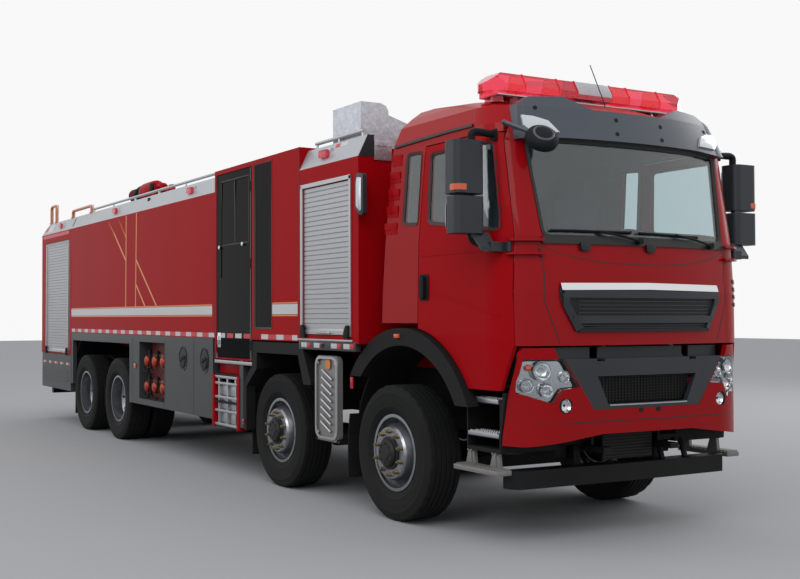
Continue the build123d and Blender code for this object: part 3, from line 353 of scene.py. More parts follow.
def grainBump(tree, shader, millimetres, strength, depth, stretch=(1, 1, 1)):
    spot = addNode(tree, "ShaderNodeTexCoord")
    turn = addNode(tree, "ShaderNodeMapping", {}, {"Vector": spot.outputs["Object"], "Scale": stretch})
    grain = addNode(tree, "ShaderNodeTexNoise", {}, {"Vector": turn.outputs["Vector"],
                                                     "Scale": perMetre(millimetres), "Detail": 2})
    bump = addNode(tree, "ShaderNodeBump", {}, {"Height": grain.outputs["Fac"], "Strength": strength,
                                                "Distance": depth})
    tree.links.new(bump.outputs["Normal"], shader.inputs["Normal"])


def dustBy(tree, shader, clean, dusty, low, high, patches, most):
    # road dust that thins out with height above the ground, broken up by soft patches
    spot = addNode(tree, "ShaderNodeTexCoord")
    split = addNode(tree, "ShaderNodeSeparateXYZ", {}, {"Vector": spot.outputs["Object"]})
    height = addNode(tree, "ShaderNodeMapRange", {}, {"Value": split.outputs["Z"], "From Min": low,
                                                      "From Max": high, "To Min": most, "To Max": 0.0})
    cloud = addNode(tree, "ShaderNodeTexNoise", {}, {"Vector": spot.outputs["Object"],
                                                     "Scale": perMetre(patches), "Detail": 6.0,
                                                     "Roughness": 0.65})
    share = addNode(tree, "ShaderNodeMath", {"operation": "MULTIPLY"},
                    {0: height.outputs["Result"], 1: cloud.outputs["Fac"]})
    mix = addNode(tree, "ShaderNodeMix", {"data_type": "RGBA"},
                  {0: share.outputs["Value"], 6: fromHex(clean), 7: fromHex(dusty)})
    tree.links.new(mix.outputs[2], shader.inputs["Base Color"])


def newMaterial(name, inputs, dust=None, grain=None):
    # dust: clean and dusty colour, heights where it ends, patch size in mm, share
    # grain: size in mm, strength, depth in metres, stretch
    material = bpy.data.materials.new(name)
    material.use_nodes = True
    shader = material.node_tree.nodes["Principled BSDF"]
    for key, value in inputs.items():
        shader.inputs[key].default_value = value
    if dust:
        dustBy(material.node_tree, shader, *dust)
    if grain:
        grainBump(material.node_tree, shader, *grain)
    return material


# Two-pack acrylic enamel sprayed by the body builder: deep red, a thin clear coat and orange peel
# about 9 mm across
enamelRed = newMaterial("redEnamel", {"Roughness": 0.45, "Coat Weight": 0.1, "Coat Roughness": 0.02,
                                      "Coat IOR": 1.3, "Specular IOR Level": 0.03},
                        ("#93050e", "#572b28", 0.35, 1.5, 350, 0.35), (9, 0.05, 0.0004))

# The same red baked on at the cab works: a thicker, mirror-like clear coat
cabEnamel = newMaterial("redCabEnamel", {"Roughness": 0.4, "Coat Weight": 0.3, "Coat Roughness": 0.01,
                                         "Coat IOR": 1.38, "Specular IOR Level": 0.05},
                        ("#8f050e", "#572b28", 0.35, 1.5, 350, 0.3), (9, 0.04, 0.0004))

# The same red inside the coupling bay, its colour darkened as painted shade of the recess; dull with water
# marks
shadedBayRed = newMaterial("redBayPaintedShade", {"Roughness": 0.55},
                      ("#5d0a10", "#3a2522", 0.4, 1.5, 120, 0.6), (12, 0.1, 0.0004))

# Moulded polypropylene of the grilles and mirror heads: dark grey, with a leather grain of 0.5 mm
# drawn 3 mm so that it shows
mouldedGrey = newMaterial("mouldedPolypropylene", {"Roughness": 0.42, "IOR": 1.4},
                          ("#24292f", "#484744", 0.3, 3.0, 300, 0.3), (3, 0.25, 0.0004))

# Glass-fibre sun visor in slate grey gelcoat, semi-gloss
visorGrey = newMaterial("slateGelcoat", {"Roughness": 0.3, "IOR": 1.45},
                        ("#3a414c", "#5a5c60", 2.6, 3.3, 300, 0.3), (12, 0.05, 0.0004))

# Moulded thermoplastic flares, liners, handles and arms, unpainted: blacker and flatter than the visor
mouldedBlack = newMaterial("blackThermoplastic", {"Roughness": 0.62, "IOR": 1.25},
                           ("#121316", "#2f2c2a", 0.1, 1.9, 260, 0.6), (4, 0.3, 0.0005))

# Epoxy primed chassis steel under black top coat, dulled by road dust
chassisBlack = newMaterial("blackChassisPaint", {"Roughness": 0.5, "IOR": 1.25},
                           ("#0c0d0f", "#282624", 0.1, 1.7, 220, 0.7), (14, 0.12, 0.0006))

# Carbon black filled tyre rubber with a dry, dusty sidewall
tyreRubber = newMaterial("tyreRubber", {"Roughness": 0.78, "IOR": 1.3},
                         ("#0d0e0f", "#302f2d", -0.2, 1.25, 160, 0.5), (6, 0.3, 0.0006))

# EPDM glazing rubber and door seals: black with a dull, even skin; also the black discs in the skirt's port
# openings, which are painted shade
sealRubber = newMaterial("sealRubber", {"Base Color": fromHex("#0d0e10"), "Roughness": 0.55},
                         grain=(5, 0.15, 0.0002))

# Silver wheel enamel on pressed steel: nearly metallic, slightly dusty
wheelSilver = newMaterial("wheelSilverEnamel", {"Metallic": 0.9, "Roughness": 0.27},
                          ("#a0a3a9", "#4e4a45", 0.0, 1.05, 90, 0.8), (12, 0.08, 0.0004))

# Cast iron hubs, oily and brown grey
castHub = newMaterial("castIronHub", {"Roughness": 0.6, "Metallic": 0.4},
                      ("#1a1a1b", "#3d3833", 0.0, 1.0, 60, 0.6), (5, 0.5, 0.0012))

# Yellow chromate zinc on the wheel nuts and coupling necks: dull gold
zincYellow = newMaterial("yellowZinc", {"Base Color": fromHex("#8a8068"), "Metallic": 0.85,
                                        "Roughness": 0.42}, grain=(4, 0.2, 0.0003))

# Mill-finish aluminium slats of the shutters: rolled lengthwise, softly brushed, pale grey
shutterAluminium = newMaterial("rolledAluminiumSlat", {"Metallic": 0.55, "Roughness": 0.42},
                               ("#adafb3", "#8a8783", 0.9, 3.0, 500, 0.5), (30, 0.1, 0.0004, (1, 1, 14)))

# Silver-grey coil-coated roof edge panels, smooth with a soft sheen
roofEdgeSilver = newMaterial("silverCoilCoat", {"Metallic": 0.45, "Roughness": 0.4},
                             ("#a9adb3", "#84807c", 2.2, 3.6, 700, 0.4), (40, 0.06, 0.0005))

# Anodised extrusions of sills, rails and frames: pale, brushed along
anodisedAluminium = newMaterial("anodisedAluminium", {"Metallic": 0.9, "Roughness": 0.36},
                                ("#b4b6ba", "#7d7973", 0.2, 3.2, 240, 0.35),
                                (20, 0.1, 0.0003, (1, 12, 12)))

# Five-bar aluminium tread plate: raised bars in two directions, 32 mm apart, with scuffs between
treadPlate = newMaterial("fiveBarTreadPlate", {"Base Color": fromHex("#b3b6ba"), "Metallic": 0.85,
                                               "Roughness": 0.4})
tree = treadPlate.node_tree
shader = tree.nodes["Principled BSDF"]
spot = addNode(tree, "ShaderNodeTexCoord").outputs["Object"]
barOne = addNode(tree, "ShaderNodeTexWave", {"bands_direction": "DIAGONAL"},
                 {"Vector": spot, "Scale": perMetre(200), "Distortion": 0.0})
checks = addNode(tree, "ShaderNodeTexChecker", {}, {"Vector": spot, "Scale": perMetre(32)})
barMix = addNode(tree, "ShaderNodeMath", {"operation": "MULTIPLY"},
                 {0: barOne.outputs["Fac"], 1: checks.outputs["Fac"]})
plateBump = addNode(tree, "ShaderNodeBump", {}, {"Height": barMix.outputs["Value"], "Strength": 0.7,
                                                 "Distance": 0.002})
tree.links.new(plateBump.outputs["Normal"], shader.inputs["Normal"])
scuffs = addNode(tree, "ShaderNodeTexNoise", {}, {"Vector": spot, "Scale": perMetre(45), "Detail": 5.0,
                                                  "Roughness": 0.7})
scuffed = addNode(tree, "ShaderNodeMix", {"data_type": "RGBA"},
                  {0: scuffs.outputs["Fac"], 6: fromHex("#8f939c"), 7: fromHex("#dfe1e8")})
tree.links.new(scuffed.outputs[2], shader.inputs["Base Color"])

# Dark grey powder coat on the skirt panels, with a light film of dust
skirtGrey = newMaterial("greyPowderCoat", {"Roughness": 0.4, "IOR": 1.3, "Coat Weight": 0.15,
                                           "Coat Roughness": 0.1, "Coat IOR": 1.3},
                        ("#34373b", "#55534e", 0.2, 1.6, 420, 0.5), (10, 0.06, 0.0003))

# Vacuum-metallised ABS of the grille strip and lamp reflectors: mirror bright
chromedPlastic = newMaterial("chromedPlastic", {"Base Color": fromHex("#d8dadc"), "Metallic": 1.0,
                                                "Roughness": 0.08}, grain=(25, 0.04, 0.0003))

# Clear polycarbonate lamp lens, glossy and almost unseen
lampClear = newMaterial("clearPolycarbonate", {"Base Color": fromHex("#f4f7f8"), "Roughness": 0.0,
                                               "Transmission Weight": 1.0, "IOR": 1.05,
                                               "Coat Weight": 1.0, "Coat Roughness": 0.0,
                                               "Coat IOR": 1.45}, grain=(30, 0.03, 0.0004))

# Grey lacquered bowl plate inside the headlamp, shiny
lampGrey = newMaterial("lampBowlGrey", {"Metallic": 0.95, "Roughness": 0.16},
                       ("#b9bdc2", "#7f8388", 0.8, 1.5, 40, 0.8), (18, 0.15, 0.0008))

# Metallised and frosted plastic covers: pale silver with a soft sheen
silverCover = newMaterial("metallisedCover", {"Metallic": 0.5, "Roughness": 0.22, "Coat Weight": 0.6},
                          ("#c3c8ce", "#9a9da2", 2.2, 3.4, 90, 0.4), (14, 0.08, 0.0005))
silverLens = newMaterial("frostedAcrylic", {"Roughness": 0.2, "Transmission Weight": 0.3, "IOR": 1.3,
                                            "Coat Weight": 0.6},
                         ("#c9ccd3", "#a3a5ab", 3.0, 3.5, 60, 0.4), (9, 0.2, 0.001, (1, 1, 3)))

# Sand-cast aluminium of the hanging step: rough and dull
castAluminium = newMaterial("castAluminium", {"Metallic": 0.6, "Roughness": 0.55},
                            ("#858483", "#615d57", 0.2, 1.2, 80, 0.6), (5, 0.35, 0.0008))

# Moulded red and orange acrylic: clear through, ribbed upright; the red's colour is lightened towards pink
# as a painted highlight
redLensWithHighlight = newMaterial("redAcrylicPaintedHighlight", {"Base Color": fromHex("#ff4560"), "Roughness": 0.06,
                                     "Transmission Weight": 0.8, "IOR": 1.12, "Coat Weight": 0.8,
                                     "Coat Roughness": 0.02}, grain=(12, 0.12, 0.0008, (1, 1, 3)))
orangeLens = newMaterial("orangeAcrylic", {"Base Color": fromHex("#e0561a"), "Roughness": 0.15,
                                           "Transmission Weight": 0.3, "Coat Weight": 0.5},
                         grain=(8, 0.15, 0.0006))

# Laminated windscreen and toughened side glass: clear, faintly green
windowGlass = newMaterial("laminatedGlass", {"Base Color": fromHex("#cfdde0"), "Roughness": 0.0,
                                             "Transmission Weight": 1.0, "IOR": 1.04,
                                             "Coat Weight": 1.0, "Coat Roughness": 0.0,
                                             "Coat IOR": 1.65})

# Black enamelled glass of the crew door and pane: almost opaque, mirror smooth
blackGlass = newMaterial("blackBackedGlass", {"Base Color": fromHex("#030405"), "Roughness": 0.02,
                                              "IOR": 1.11}, grain=(400, 0.02, 0.002))

# Retroreflective film and cast vinyl: even, semi-matt colour over fine beads
whiteFilm = newMaterial("whiteReflectiveFilm", {"Roughness": 0.35},
                        ("#b6b8bd", "#8f8b85", 0.8, 2.0, 300, 0.5), (6, 0.06, 0.0002))
redFilm = newMaterial("redReflectiveFilm", {"Roughness": 0.35},
                      ("#b5121f", "#743a35", 0.8, 2.0, 300, 0.4), (6, 0.06, 0.0002))
amberFilm = newMaterial("amberVinyl", {"Roughness": 0.3},
                        ("#c9741c", "#8f6238", 0.8, 3.2, 300, 0.4), (6, 0.05, 0.0002))

# Anodised orange-red aluminium of the coupling caps: metallic, browned by dirt
couplingRed = newMaterial("orangeAnodisedCap", {"Metallic": 0.7, "Roughness": 0.35},
                          ("#a5321c", "#4d2a20", 0.2, 1.4, 70, 0.6), (6, 0.15, 0.0004))

# Woven polyester seat cloth, matt, its 1 mm weave drawn 4 mm, and foam-backed dashboard skin
seatCloth = newMaterial("wovenSeatCloth", {"Roughness": 0.9, "Sheen Weight": 0.2},
                        ("#50565e", "#6a6d72", 1.0, 3.0, 120, 0.6), (4, 0.5, 0.0008))
dashSkin = newMaterial("dashboardSkin", {"Roughness": 0.6},
                       ("#4a5057", "#5c6065", 1.5, 2.6, 200, 0.4), (5, 0.3, 0.0005))

# Needle-felt and moulded lining of the cab: light grey and matt
liningGrey = newMaterial("cabLining", {"Roughness": 0.85},
                         ("#7c8186", "#5d6063", 1.0, 3.2, 300, 0.5), (5, 0.3, 0.0006))

# Black expanded metal behind the grilles: dark with a coarse relief
meshBlack = newMaterial("expandedMesh", {"Base Color": fromHex("#0b0c0d"), "Roughness": 0.6,
                                         "Metallic": 0.3}, grain=(12, 0.9, 0.003))

# Orange safety enamel on the roof hoops: clean gloss
hoopOrange = newMaterial("orangeSafetyEnamel", {"Roughness": 0.35, "Coat Weight": 0.4},
                         ("#b9642a", "#7a5a44", 2.8, 3.7, 120, 0.5), (10, 0.08, 0.0003))
print("materials made")

# The CAD nodes that each material is put on
finishes = {
    enamelRed: ["locker_section", "tank_section", "rear_section", "crew_cabin", "monitor_base",
                "monitor_head", "monitor_barrel"],
    cabEnamel: ["cab_shell", "door_left", "door_right", "front_bumper"],
    visorGrey: ["cab_visor"],
    mouldedGrey: ["front_grille", "bumper_grille", "mirror_left", "mirror_right"],
    mouldedBlack: ["mudguards", "steps"],
    chassisBlack: ["frame_rails", "engine", "axles", "underrun_bars"]
                  + [f"knuckle_{n}_{side}" for n in (1, 2) for side, _ in sides],
    tyreRubber: [f"tyre_{n}_{side}" for n in (1, 2, 3, 4) for side, _ in sides],
    wheelSilver: [f"rim_{n}_{side}" for n in (1, 2, 3, 4) for side, _ in sides],
    shutterAluminium: ["roller_shutters"],
    castAluminium: ["step_board_left", "step_board_right"],
    roofEdgeSilver: ["roof_edges"],
    anodisedAluminium: ["roof_rails"],
    treadPlate: ["roof_box"],
    skirtGrey: ["lower_panels"],
    shadedBayRed: ["inlet_couplings"],
    lampClear: ["lamps"],
    redLensWithHighlight: ["light_bar"],
    windowGlass: ["cab_glass"],
    blackGlass: ["crew_panes", "crew_door_left", "crew_door_right"],
    seatCloth: ["cab_seats", "crew_bench"],
    dashSkin: ["dashboard"],
}
for material, names in finishes.items():
    for name in names:
        mesh = cadNodes[name].data
        mesh.materials.clear()
        mesh.materials.append(material)

# Tyres and wheel fittings: half of a tyre's section in (radius, place from the middle), with ribs on
# sidewall and tread, and the hub covers' sections outwards from the rim's disc
wheel = {"x": (0, -1.95, -6.55, -7.95), "height": 0.525, "frontY": 1.033, "rearY": 1.08,
         "spacing": 0.332, "disc": 0.166, "nuts": 10, "nutCircle": 0.1675, "nutRadius": 0.0165,
         "hubBolts": 8, "hubCircle": 0.074, "steps": 120, "slotRows": (15, 16, 17), "slotDepth": 0.007}
sidewall = [(0.2872, 0.110), (0.3005, 0.1155), (0.312, 0.126), (0.330, 0.139), (0.352, 0.148),
            (0.356, 0.1505), (0.362, 0.1498), (0.395, 0.1547), (0.425, 0.1550), (0.452, 0.1522),
            (0.457, 0.1535), (0.463, 0.1515), (0.486, 0.1455), (0.503, 0.1405), (0.515, 0.1365),
            (0.5215, 0.131)]
tread = [(0.5242, 0.124), (0.525, 0.098), (0.522, 0.096), (0.513, 0.094), (0.513, 0.086),
         (0.522, 0.084), (0.525, 0.082), (0.525, 0.051), (0.522, 0.049), (0.513, 0.047),
         (0.513, 0.040), (0.522, 0.038), (0.525, 0.036), (0.525, 0.008), (0.522, 0.006),
         (0.514, 0.004)]
half = sidewall + tread
tyreProfile = half + [(radius, -y) for radius, y in half[::-1]]
rearHub = [(0.128, 0.0005), (0.128, 0.018), (0.112, 0.026), (0.1065, 0.03), (0.1065, 0.128),
           (0.094, 0.1375), (0.05, 0.1375), (0.046, 0.143), (0.0, 0.143)]
frontHub = [(0.128, 0.0005), (0.128, 0.012), (0.1075, 0.014), (0.1065, 0.028), (0.0925, 0.0445),
            (0.055, 0.0455), (0.05, 0.051), (0.0, 0.052)]


def shoulderSlots(row, step, radius):
    # open slots across the two outer ribs of the tread
    outer = min(row, len(tyreProfile) - 1 - row) in wheel["slotRows"]
    return radius - wheel["slotDepth"] if outer and step % 4 == 0 else radius


for number, x in enumerate(wheel["x"], 1):
    twin = number > 2
    y, z = wheel["rearY"] if twin else wheel["frontY"], wheel["height"]
    bm = bmesh.new()
    for offset in ((0, -wheel["spacing"]) if twin else (0,)):
        addTurned(bm, tyreProfile, (x, y + offset, z), leftward, wheel["steps"], True, notch=shoulderSlots)
    finishPair(f"tyreWithTread_{number}", bm, tyreRubber, f"wheel_{number}", [f"tyre_{number}"], 32)

    face = y - wheel["disc"] if twin else y + wheel["disc"]
    nuts, hub = bmesh.new(), bmesh.new()
    for a, b in spotsAround(wheel["nuts"], wheel["nutCircle"], 0.5):
        for start, end, radius, steps, tip in ((0, 0.006, wheel["nutRadius"] * 1.25, 20, None),
                                               (0.005, 0.028, wheel["nutRadius"], 6, None),
                                               (0.027, 0.044, 0.0095, 12, 0.0085)):
            addRod(nuts, (x + a, face + start, z + b), (x + a, face + end, z + b), radius, steps, tip)
    finishPair(f"wheelNuts_{number}", nuts, zincYellow, f"wheel_{number}")
    outline = rearHub if twin else frontHub
    addTurned(hub, outline, (x, face, z), leftward, 40, capped=True)
    cover = face + outline[-3][1]
    for a, b in spotsAround(wheel["hubBolts"], wheel["hubCircle"]):
        addRod(hub, (x + a, cover - 0.008, z + b), (x + a, cover + 0.006, z + b), 0.008, 6)
    finishPair(f"hubCover_{number}", hub, castHub, f"wheel_{number}")
print("tyres and wheels")

# Cab doors: painted leaf and glass apart, seals, seams and handles
door = {"seal": 0.026, "window": ((0.455, 2.275), (0.98, 2.215), (1.262, 2.165), (1.168, 2.785),
                                  (0.475, 2.785)),
        "quarter": ((0.112, 2.292), (0.308, 2.278), (0.35, 2.815), (0.16, 2.825)), "glassZ": 1.9,
        "handle": (0.345, 0.492), "handleZ": (1.7, 1.895), "lining": (1.6, 2.05),
        # ends, width and lift of each pressed line
        "creases": (((0.5, 1.762), (1.26, 1.592), 0.016, 0.004),
                    ((0.345, 2.035), (1.3, 2.035), 0.014, 0.003))}
for side, _ in sides:
    keepPart(f"doorLeaf_{side}", f"door_{side}", enamelRed, f"cab_door_{side}",
             lambda low, high: low.z < door["glassZ"], [f"door_{side}"])
    keepPart(f"doorGlass_{side}", f"door_{side}", windowGlass, f"cab_door_{side}",
             lambda low, high: low.z > door["glassZ"])
doorSkin = surfaceOf("door_left")
bm = bmesh.new()
layStrip(bm, doorSkin, alongY, roundedOutline(door["window"], 0.045), door["seal"], 0.004, 0.012, 0.05, True)
finishPair("doorSeal", bm, sealRubber, "cab_door")
bm = bmesh.new()
(x, end), (low, high) = door["handle"], door["handleZ"]
y = dropOn(doorSkin, alongY, 0.42, 1.8)[0].y
addPlate(bm, (x, end - 0.03), (low, high), 0.02, alongY, (y - 0.004, y + 0.007), 0.003)
addPlate(bm, (x + 0.035, x + 0.085), (low + 0.012, high - 0.012), 0.016, alongY, (y + 0.006, y + 0.034),
         0.008, 3)
addRod(bm, (x + 0.06, y + 0.03, low + 0.035), (x + 0.06, y + 0.036, low + 0.035), 0.011)
finishPair("doorHandle", bm, mouldedBlack, "cab_door")
bm = bmesh.new()
for start, end, width, lift in door["creases"]:
    layStrip(bm, doorSkin, alongY, (start, end), width, lift)
finishPair("doorCrease", bm, enamelRed, "cab_door")

cabSkin = surfaceOf("cab_shell", "cab_glass", "front_grille")
bm = bmesh.new()
layStrip(bm, cabSkin, alongY, roundedOutline(door["quarter"], 0.03), 0.024, 0.004, 0.01, 0.05, True)
finishPiece("quarterSeals", bm, sealRubber, "cab", both=True)

# Cab corner fins: five, each a raised lip over a shallow one
fins = {"top": 2.83, "pitch": 0.132, "count": 5, "rearX": (-0.05, -0.0235), "frontX": (0.082, -0.013),
        "lips": ((-0.04, 0.014, 0.008), (-0.075, -0.04, 0.003))}
bm = bmesh.new()
for n in range(fins["count"]):
    z = fins["top"] - n * fins["pitch"]
    rear, front = (start + n * shift for start, shift in (fins["rearX"], fins["frontX"]))
    for low, high, depth in fins["lips"]:
        near, _ = dropOn(cabSkin, alongY, (rear + front) / 2, z + (low + high) / 2)
        outline = [(rear, z + low), (front, z + low - 0.006), (front, z + high - 0.006), (rear, z + high)]
        addPrism(bm, roundedOutline(outline, 0.006), alongY, near.y - 0.02, near.y + depth, 0.004)
finishPiece("cabSideFins", bm, enamelRed, "cab", both=True)

# Linings: faces of the shell that look at the middle of the cab, without the door jambs
lining = {"middle": Vector((0.55, 0, 2.2)), "lowZ": 1.6, "frontX": 1.36, "halfWidth": 1.12, "jambY": 1.03}
copyFaces("cabLining", "cab_shell", liningGrey, "cab",
          lambda spot, normal: spot.z > lining["lowZ"] and normal.dot(lining["middle"] - spot) > 0.1
          and abs(spot.y) < lining["halfWidth"] and spot.x < lining["frontX"]
          and not (abs(spot.y) > lining["jambY"] and abs(normal.y) < 0.6))
for side, sign in sides:
    copyFaces(f"doorLining_{side}", f"door_{side}", liningGrey, f"cab_door_{side}",
              lambda spot, normal: normal.y * sign < -0.3
              and door["lining"][0] < spot.z < door["lining"][1])

# Windscreen: rubber, black cowl, wipers and the two small blocks below
screen = {"outline": ((-0.848, 2.122), (0.848, 2.122), (0.908, 2.8), (-0.908, 2.8)),
          "blocks": (-0.542, 0.036), "blockZ": 2.062,
          # pivot, knee, and the two ends of the blade
          "wipers": (((-0.08, 2.105), (-0.417, 2.165), (-0.8, 2.168), (-0.13, 2.168)),
                     ((0.685, 2.098), (0.3, 2.165), (-0.06, 2.168), (0.56, 2.158)))}
bm = bmesh.new()
layStrip(bm, cabSkin, alongX, roundedOutline(screen["outline"], 0.06), 0.03, 0.006, 0.02, 0.06, True)
layStrip(bm, cabSkin, alongX, ((-0.87, 2.1), (0.87, 2.1)), 0.05, 0.012, 0.03, 0.06)
for y in screen["blocks"]:
    x = dropOn(cabSkin, alongX, y, screen["blockZ"])[0].x
    outline = [(y - 0.038, 2.03), (y + 0.038, 2.03), (y + 0.046, 2.09), (y - 0.046, 2.09)]
    addPrism(bm, roundedOutline(outline, 0.014), alongX, x - 0.01, x + 0.022, 0.006)
finishPiece("screenSealAndCowl", bm, sealRubber, "cab")
bm = bmesh.new()
for pivot, bend, start, end in screen["wipers"]:
    foot, knee = dropOn(cabSkin, alongX, *pivot)[0], dropOn(cabSkin, alongX, *bend)[0]
    addRod(bm, foot - forward * 0.01, foot + forward * 0.045, 0.022, 20)
    elbow = foot.lerp(knee, 0.5) + Vector((0.05, 0, 0.004))
    addTube(bm, [foot + forward * 0.035, elbow, knee + forward * 0.028], 0.0085, 0.03, 10)
    points = [Vector(start).lerp(Vector(end), n / 8) for n in range(9)]
    blade = [dropOn(cabSkin, alongX, *point)[0] + forward * 0.016 for point in points]
    addTube(bm, blade, 0.008, 0.02, 8)
    addTube(bm, [point - Vector((0.009, 0, 0.008)) for point in blade], 0.005, 0.02, 6)
finishPiece("wipers", bm, mouldedBlack, "cab")

# Front panel: seams, chrome strip, slats of the upper grille, corner vents
grille = {"seams": (((0.755, 1.4), (0.873, 1.69), (0.862, 1.88), (0.9, 2.07)),
                    ((0.9, 2.07), (0.7, 2.0), (0.42, 1.955), (0.2, 1.945), (-0.001, 1.942))),
          # height, half length and width of each level bar; height and width of each thin slat
          "bars": ((1.732, 0.735, 0.05), (1.557, 0.664, 0.05), (1.484, 0.612, 0.018)),
          "slats": ((1.603, 0.007), (1.63, 0.007), (1.657, 0.007), (1.684, 0.007), (1.5, 0.005),
                    (1.517, 0.005), (1.533, 0.005)),
          "post": ((0.612, 1.488), (0.712, 1.658), (0.722, 1.738)),
          "mesh": ((1.59, 1.7, 0.68), (1.487, 1.54, 0.64)), "vents": (1.842, 1.785, 1.728, 1.67)}
bm = bmesh.new()
for path, width in zip(grille["seams"], (0.007, 0.006)):
    layStrip(bm, cabSkin, alongX, path, width, 0.0012, 0.002, 0.03)
finishPiece("panelSeams", bm, sealRubber, "cab", both=True)
bm = bmesh.new()
layStrip(bm, cabSkin, alongX, ((-0.748, 1.782), (0, 1.79), (0.748, 1.782)), 0.048, 0.014, 0.03)
finishPiece("chromeStrip", bm, chromedPlastic, "cab")
bm = bmesh.new()
for z, reach, width in grille["bars"]:
    layStrip(bm, cabSkin, alongX, ((-reach, z), (reach, z)), width, 0.02, 0.025, 0.05)
for _, sign in sides:
    layStrip(bm, cabSkin, alongX, [(sign * y, z) for y, z in grille["post"]], 0.05, 0.019, 0.024)
for z, width in grille["slats"]:
    layStrip(bm, cabSkin, alongX, ((-0.62, z), (0.62, z)), width, 0.007, 0.008, 0.08)
finishPiece("grilleSlats", bm, mouldedGrey, "cab")
bm = bmesh.new()
for low, high, reach in grille["mesh"]:
    height = (high - low) / 6
    for n in range(6):
        z = low + (n + 0.5) * height
        layStrip(bm, cabSkin, alongX, ((-reach, z), (reach, z)), height, 0.004, 0.004, 0.1)
finishPiece("grilleMesh", bm, meshBlack, "cab")
bm = bmesh.new()
for z in grille["vents"]:
    layStrip(bm, cabSkin, alongX, ((0.985, z), (1.055, z - 0.006)), 0.026, 0.006, 0.01, 0.02)
finishPiece("cornerVents", bm, sealRubber, "cab")

# Headlamps: a grey bowl plate, three round reflectors, a small one and the orange bulb
lens = surfaceOf("lamps")
headlamp = {"plate": ((1.0, 1.275), (0.765, 1.275), (0.645, 1.1), (0.77, 1.092), (0.835, 0.998),
                      (1.03, 1.066), (1.028, 1.14)),
            # y, z, radius
            "bowls": ((0.899, 1.212, 0.066), (0.985, 1.112, 0.048), (0.868, 1.082, 0.05),
                      (0.735, 1.17, 0.04)),
            "bulb": (0.985, 1.232, 0.022),
            # sections as shares of the radius, with places along the axis
            "bowl": ((1, 0.008), (1, 0.0), (0.94, 0.0), (0.8, -0.018), (0.5, -0.032), (0.2, -0.036)),
            "projector": ((0.34, -0.034), (0.34, -0.012), (0.25, -0.004), (0.0, -0.001)),
            "dome": ((1, -0.03), (1, -0.004), (0.7, 0.006), (0.0, 0.01))}


def scaled(profile, radius):
    return [(radius * share, along) for share, along in profile]


plate, bowls, centres, bulbs = (bmesh.new() for _ in range(4))
rim = []
for y, z in roundedOutline(headlamp["plate"], 0.02, 3):
    spot, _ = dropOn(lens, alongX, y, z)
    if spot is None:
        spot, _ = dropOn(lens, alongX, y * 0.98 + 0.016, z * 0.98 + 0.023)     # a little inwards
    rim.append(plate.verts.new(spot - forward * 0.05))
plate.faces.new(rim)
for y, z, radius in headlamp["bowls"]:
    spot, normal = dropOn(lens, alongX, y, z)
    normal = (normal + forward).normalized()
    back = spot - normal * 0.03
    addTurned(bowls, scaled(headlamp["bowl"], radius), back, normal, 40)
    addTurned(centres, scaled(headlamp["projector"], radius), back, normal, 24)
y, z, radius = headlamp["bulb"]
spot, normal = dropOn(lens, alongX, y, z)
addTurned(bulbs, scaled(headlamp["dome"], radius), spot - normal * 0.02, normal, 24)
finishPiece("lampPlates", plate, lampGrey, both=True)
finishPiece("lampBowls", bowls, chromedPlastic, both=True)
finishPiece("lampProjectors", centres, lampClear, both=True)
finishPiece("lampIndicators", bulbs, orangeLens, both=True)

# Bumper: seam, mesh in its tapering opening, lower lip, fog lamp rings, round plugs
bumperSkin = surfaceOf("front_bumper", "bumper_grille")
bumper = {"seamZ": 0.858, "seamEnd": -1.07, "seamStep": 0.0713, "meshX": 1.458, "low": 0.98, "top": 1.165,
          "lowHalf": 0.374, "topHalf": 0.462, "taper": 0.475, "wire": 0.004, "fog": (0.734, 0.974),
          "plugs": (-0.09, 0.075)}
bm = bmesh.new()
path = [(bumper["seamEnd"] + bumper["seamStep"] * n, bumper["seamZ"]) for n in range(31)]
layStrip(bm, bumperSkin, alongX, path, 0.007, 0.0012, 0.002, 0.05)
finishPiece("bumperSeam", bm, sealRubber)
bm = bmesh.new()
x, low, top, reach = (bumper[key] for key in ("meshX", "low", "top", "lowHalf"))
opening = ((-bumper["topHalf"], top), (-reach, low), (reach, low), (bumper["topHalf"], top))
addPrism(bm, opening, alongX, x, x + 0.004)
for n in range(9):
    z = 0.995 + n * 0.02
    wide = reach + (z - low) * bumper["taper"]
    addBlock(bm, (x + 0.002, x + 0.014), (-wide, wide), (z, z + bumper["wire"]), 0)
for n in range(31):
    y = -0.45 + n * 0.03
    foot = max(low, low + (abs(y) - reach) / bumper["taper"])
    addBlock(bm, (x + 0.003, x + 0.012), (y, y + bumper["wire"]), (foot, top), 0)
finishPiece("bumperMesh", bm, meshBlack)
bm = bmesh.new()
layStrip(bm, bumperSkin, alongX, ((-0.37, 0.967), (0.37, 0.967)), 0.009, 0.006, 0.01, 0.05)
finishPiece("bumperLip", bm, anodisedAluminium)
rings, bowls = bmesh.new(), bmesh.new()
y, z = bumper["fog"]
x = dropOn(bumperSkin, alongX, y + 0.058, z)[0].x
addTurned(rings, [(0.0475, -0.02), (0.0475, 0.004), (0.05, 0.008), (0.058, 0.006), (0.06, -0.001),
                  (0.06, -0.02)], (x, y, z), forward, 40)
addTurned(bowls, [(0.046, 0.0), (0.034, -0.014), (0.01, -0.018)], (1.4835, y, z), forward)
for y in bumper["plugs"]:
    spot, _ = dropOn(bumperSkin, alongX, y, 0.925)
    addRod(rings, spot - forward * 0.006, spot + forward * 0.003, 0.014)
finishPiece("fogRings", rings, mouldedBlack, both=True)
finishPiece("fogReflectors", bowls, chromedPlastic, both=True)

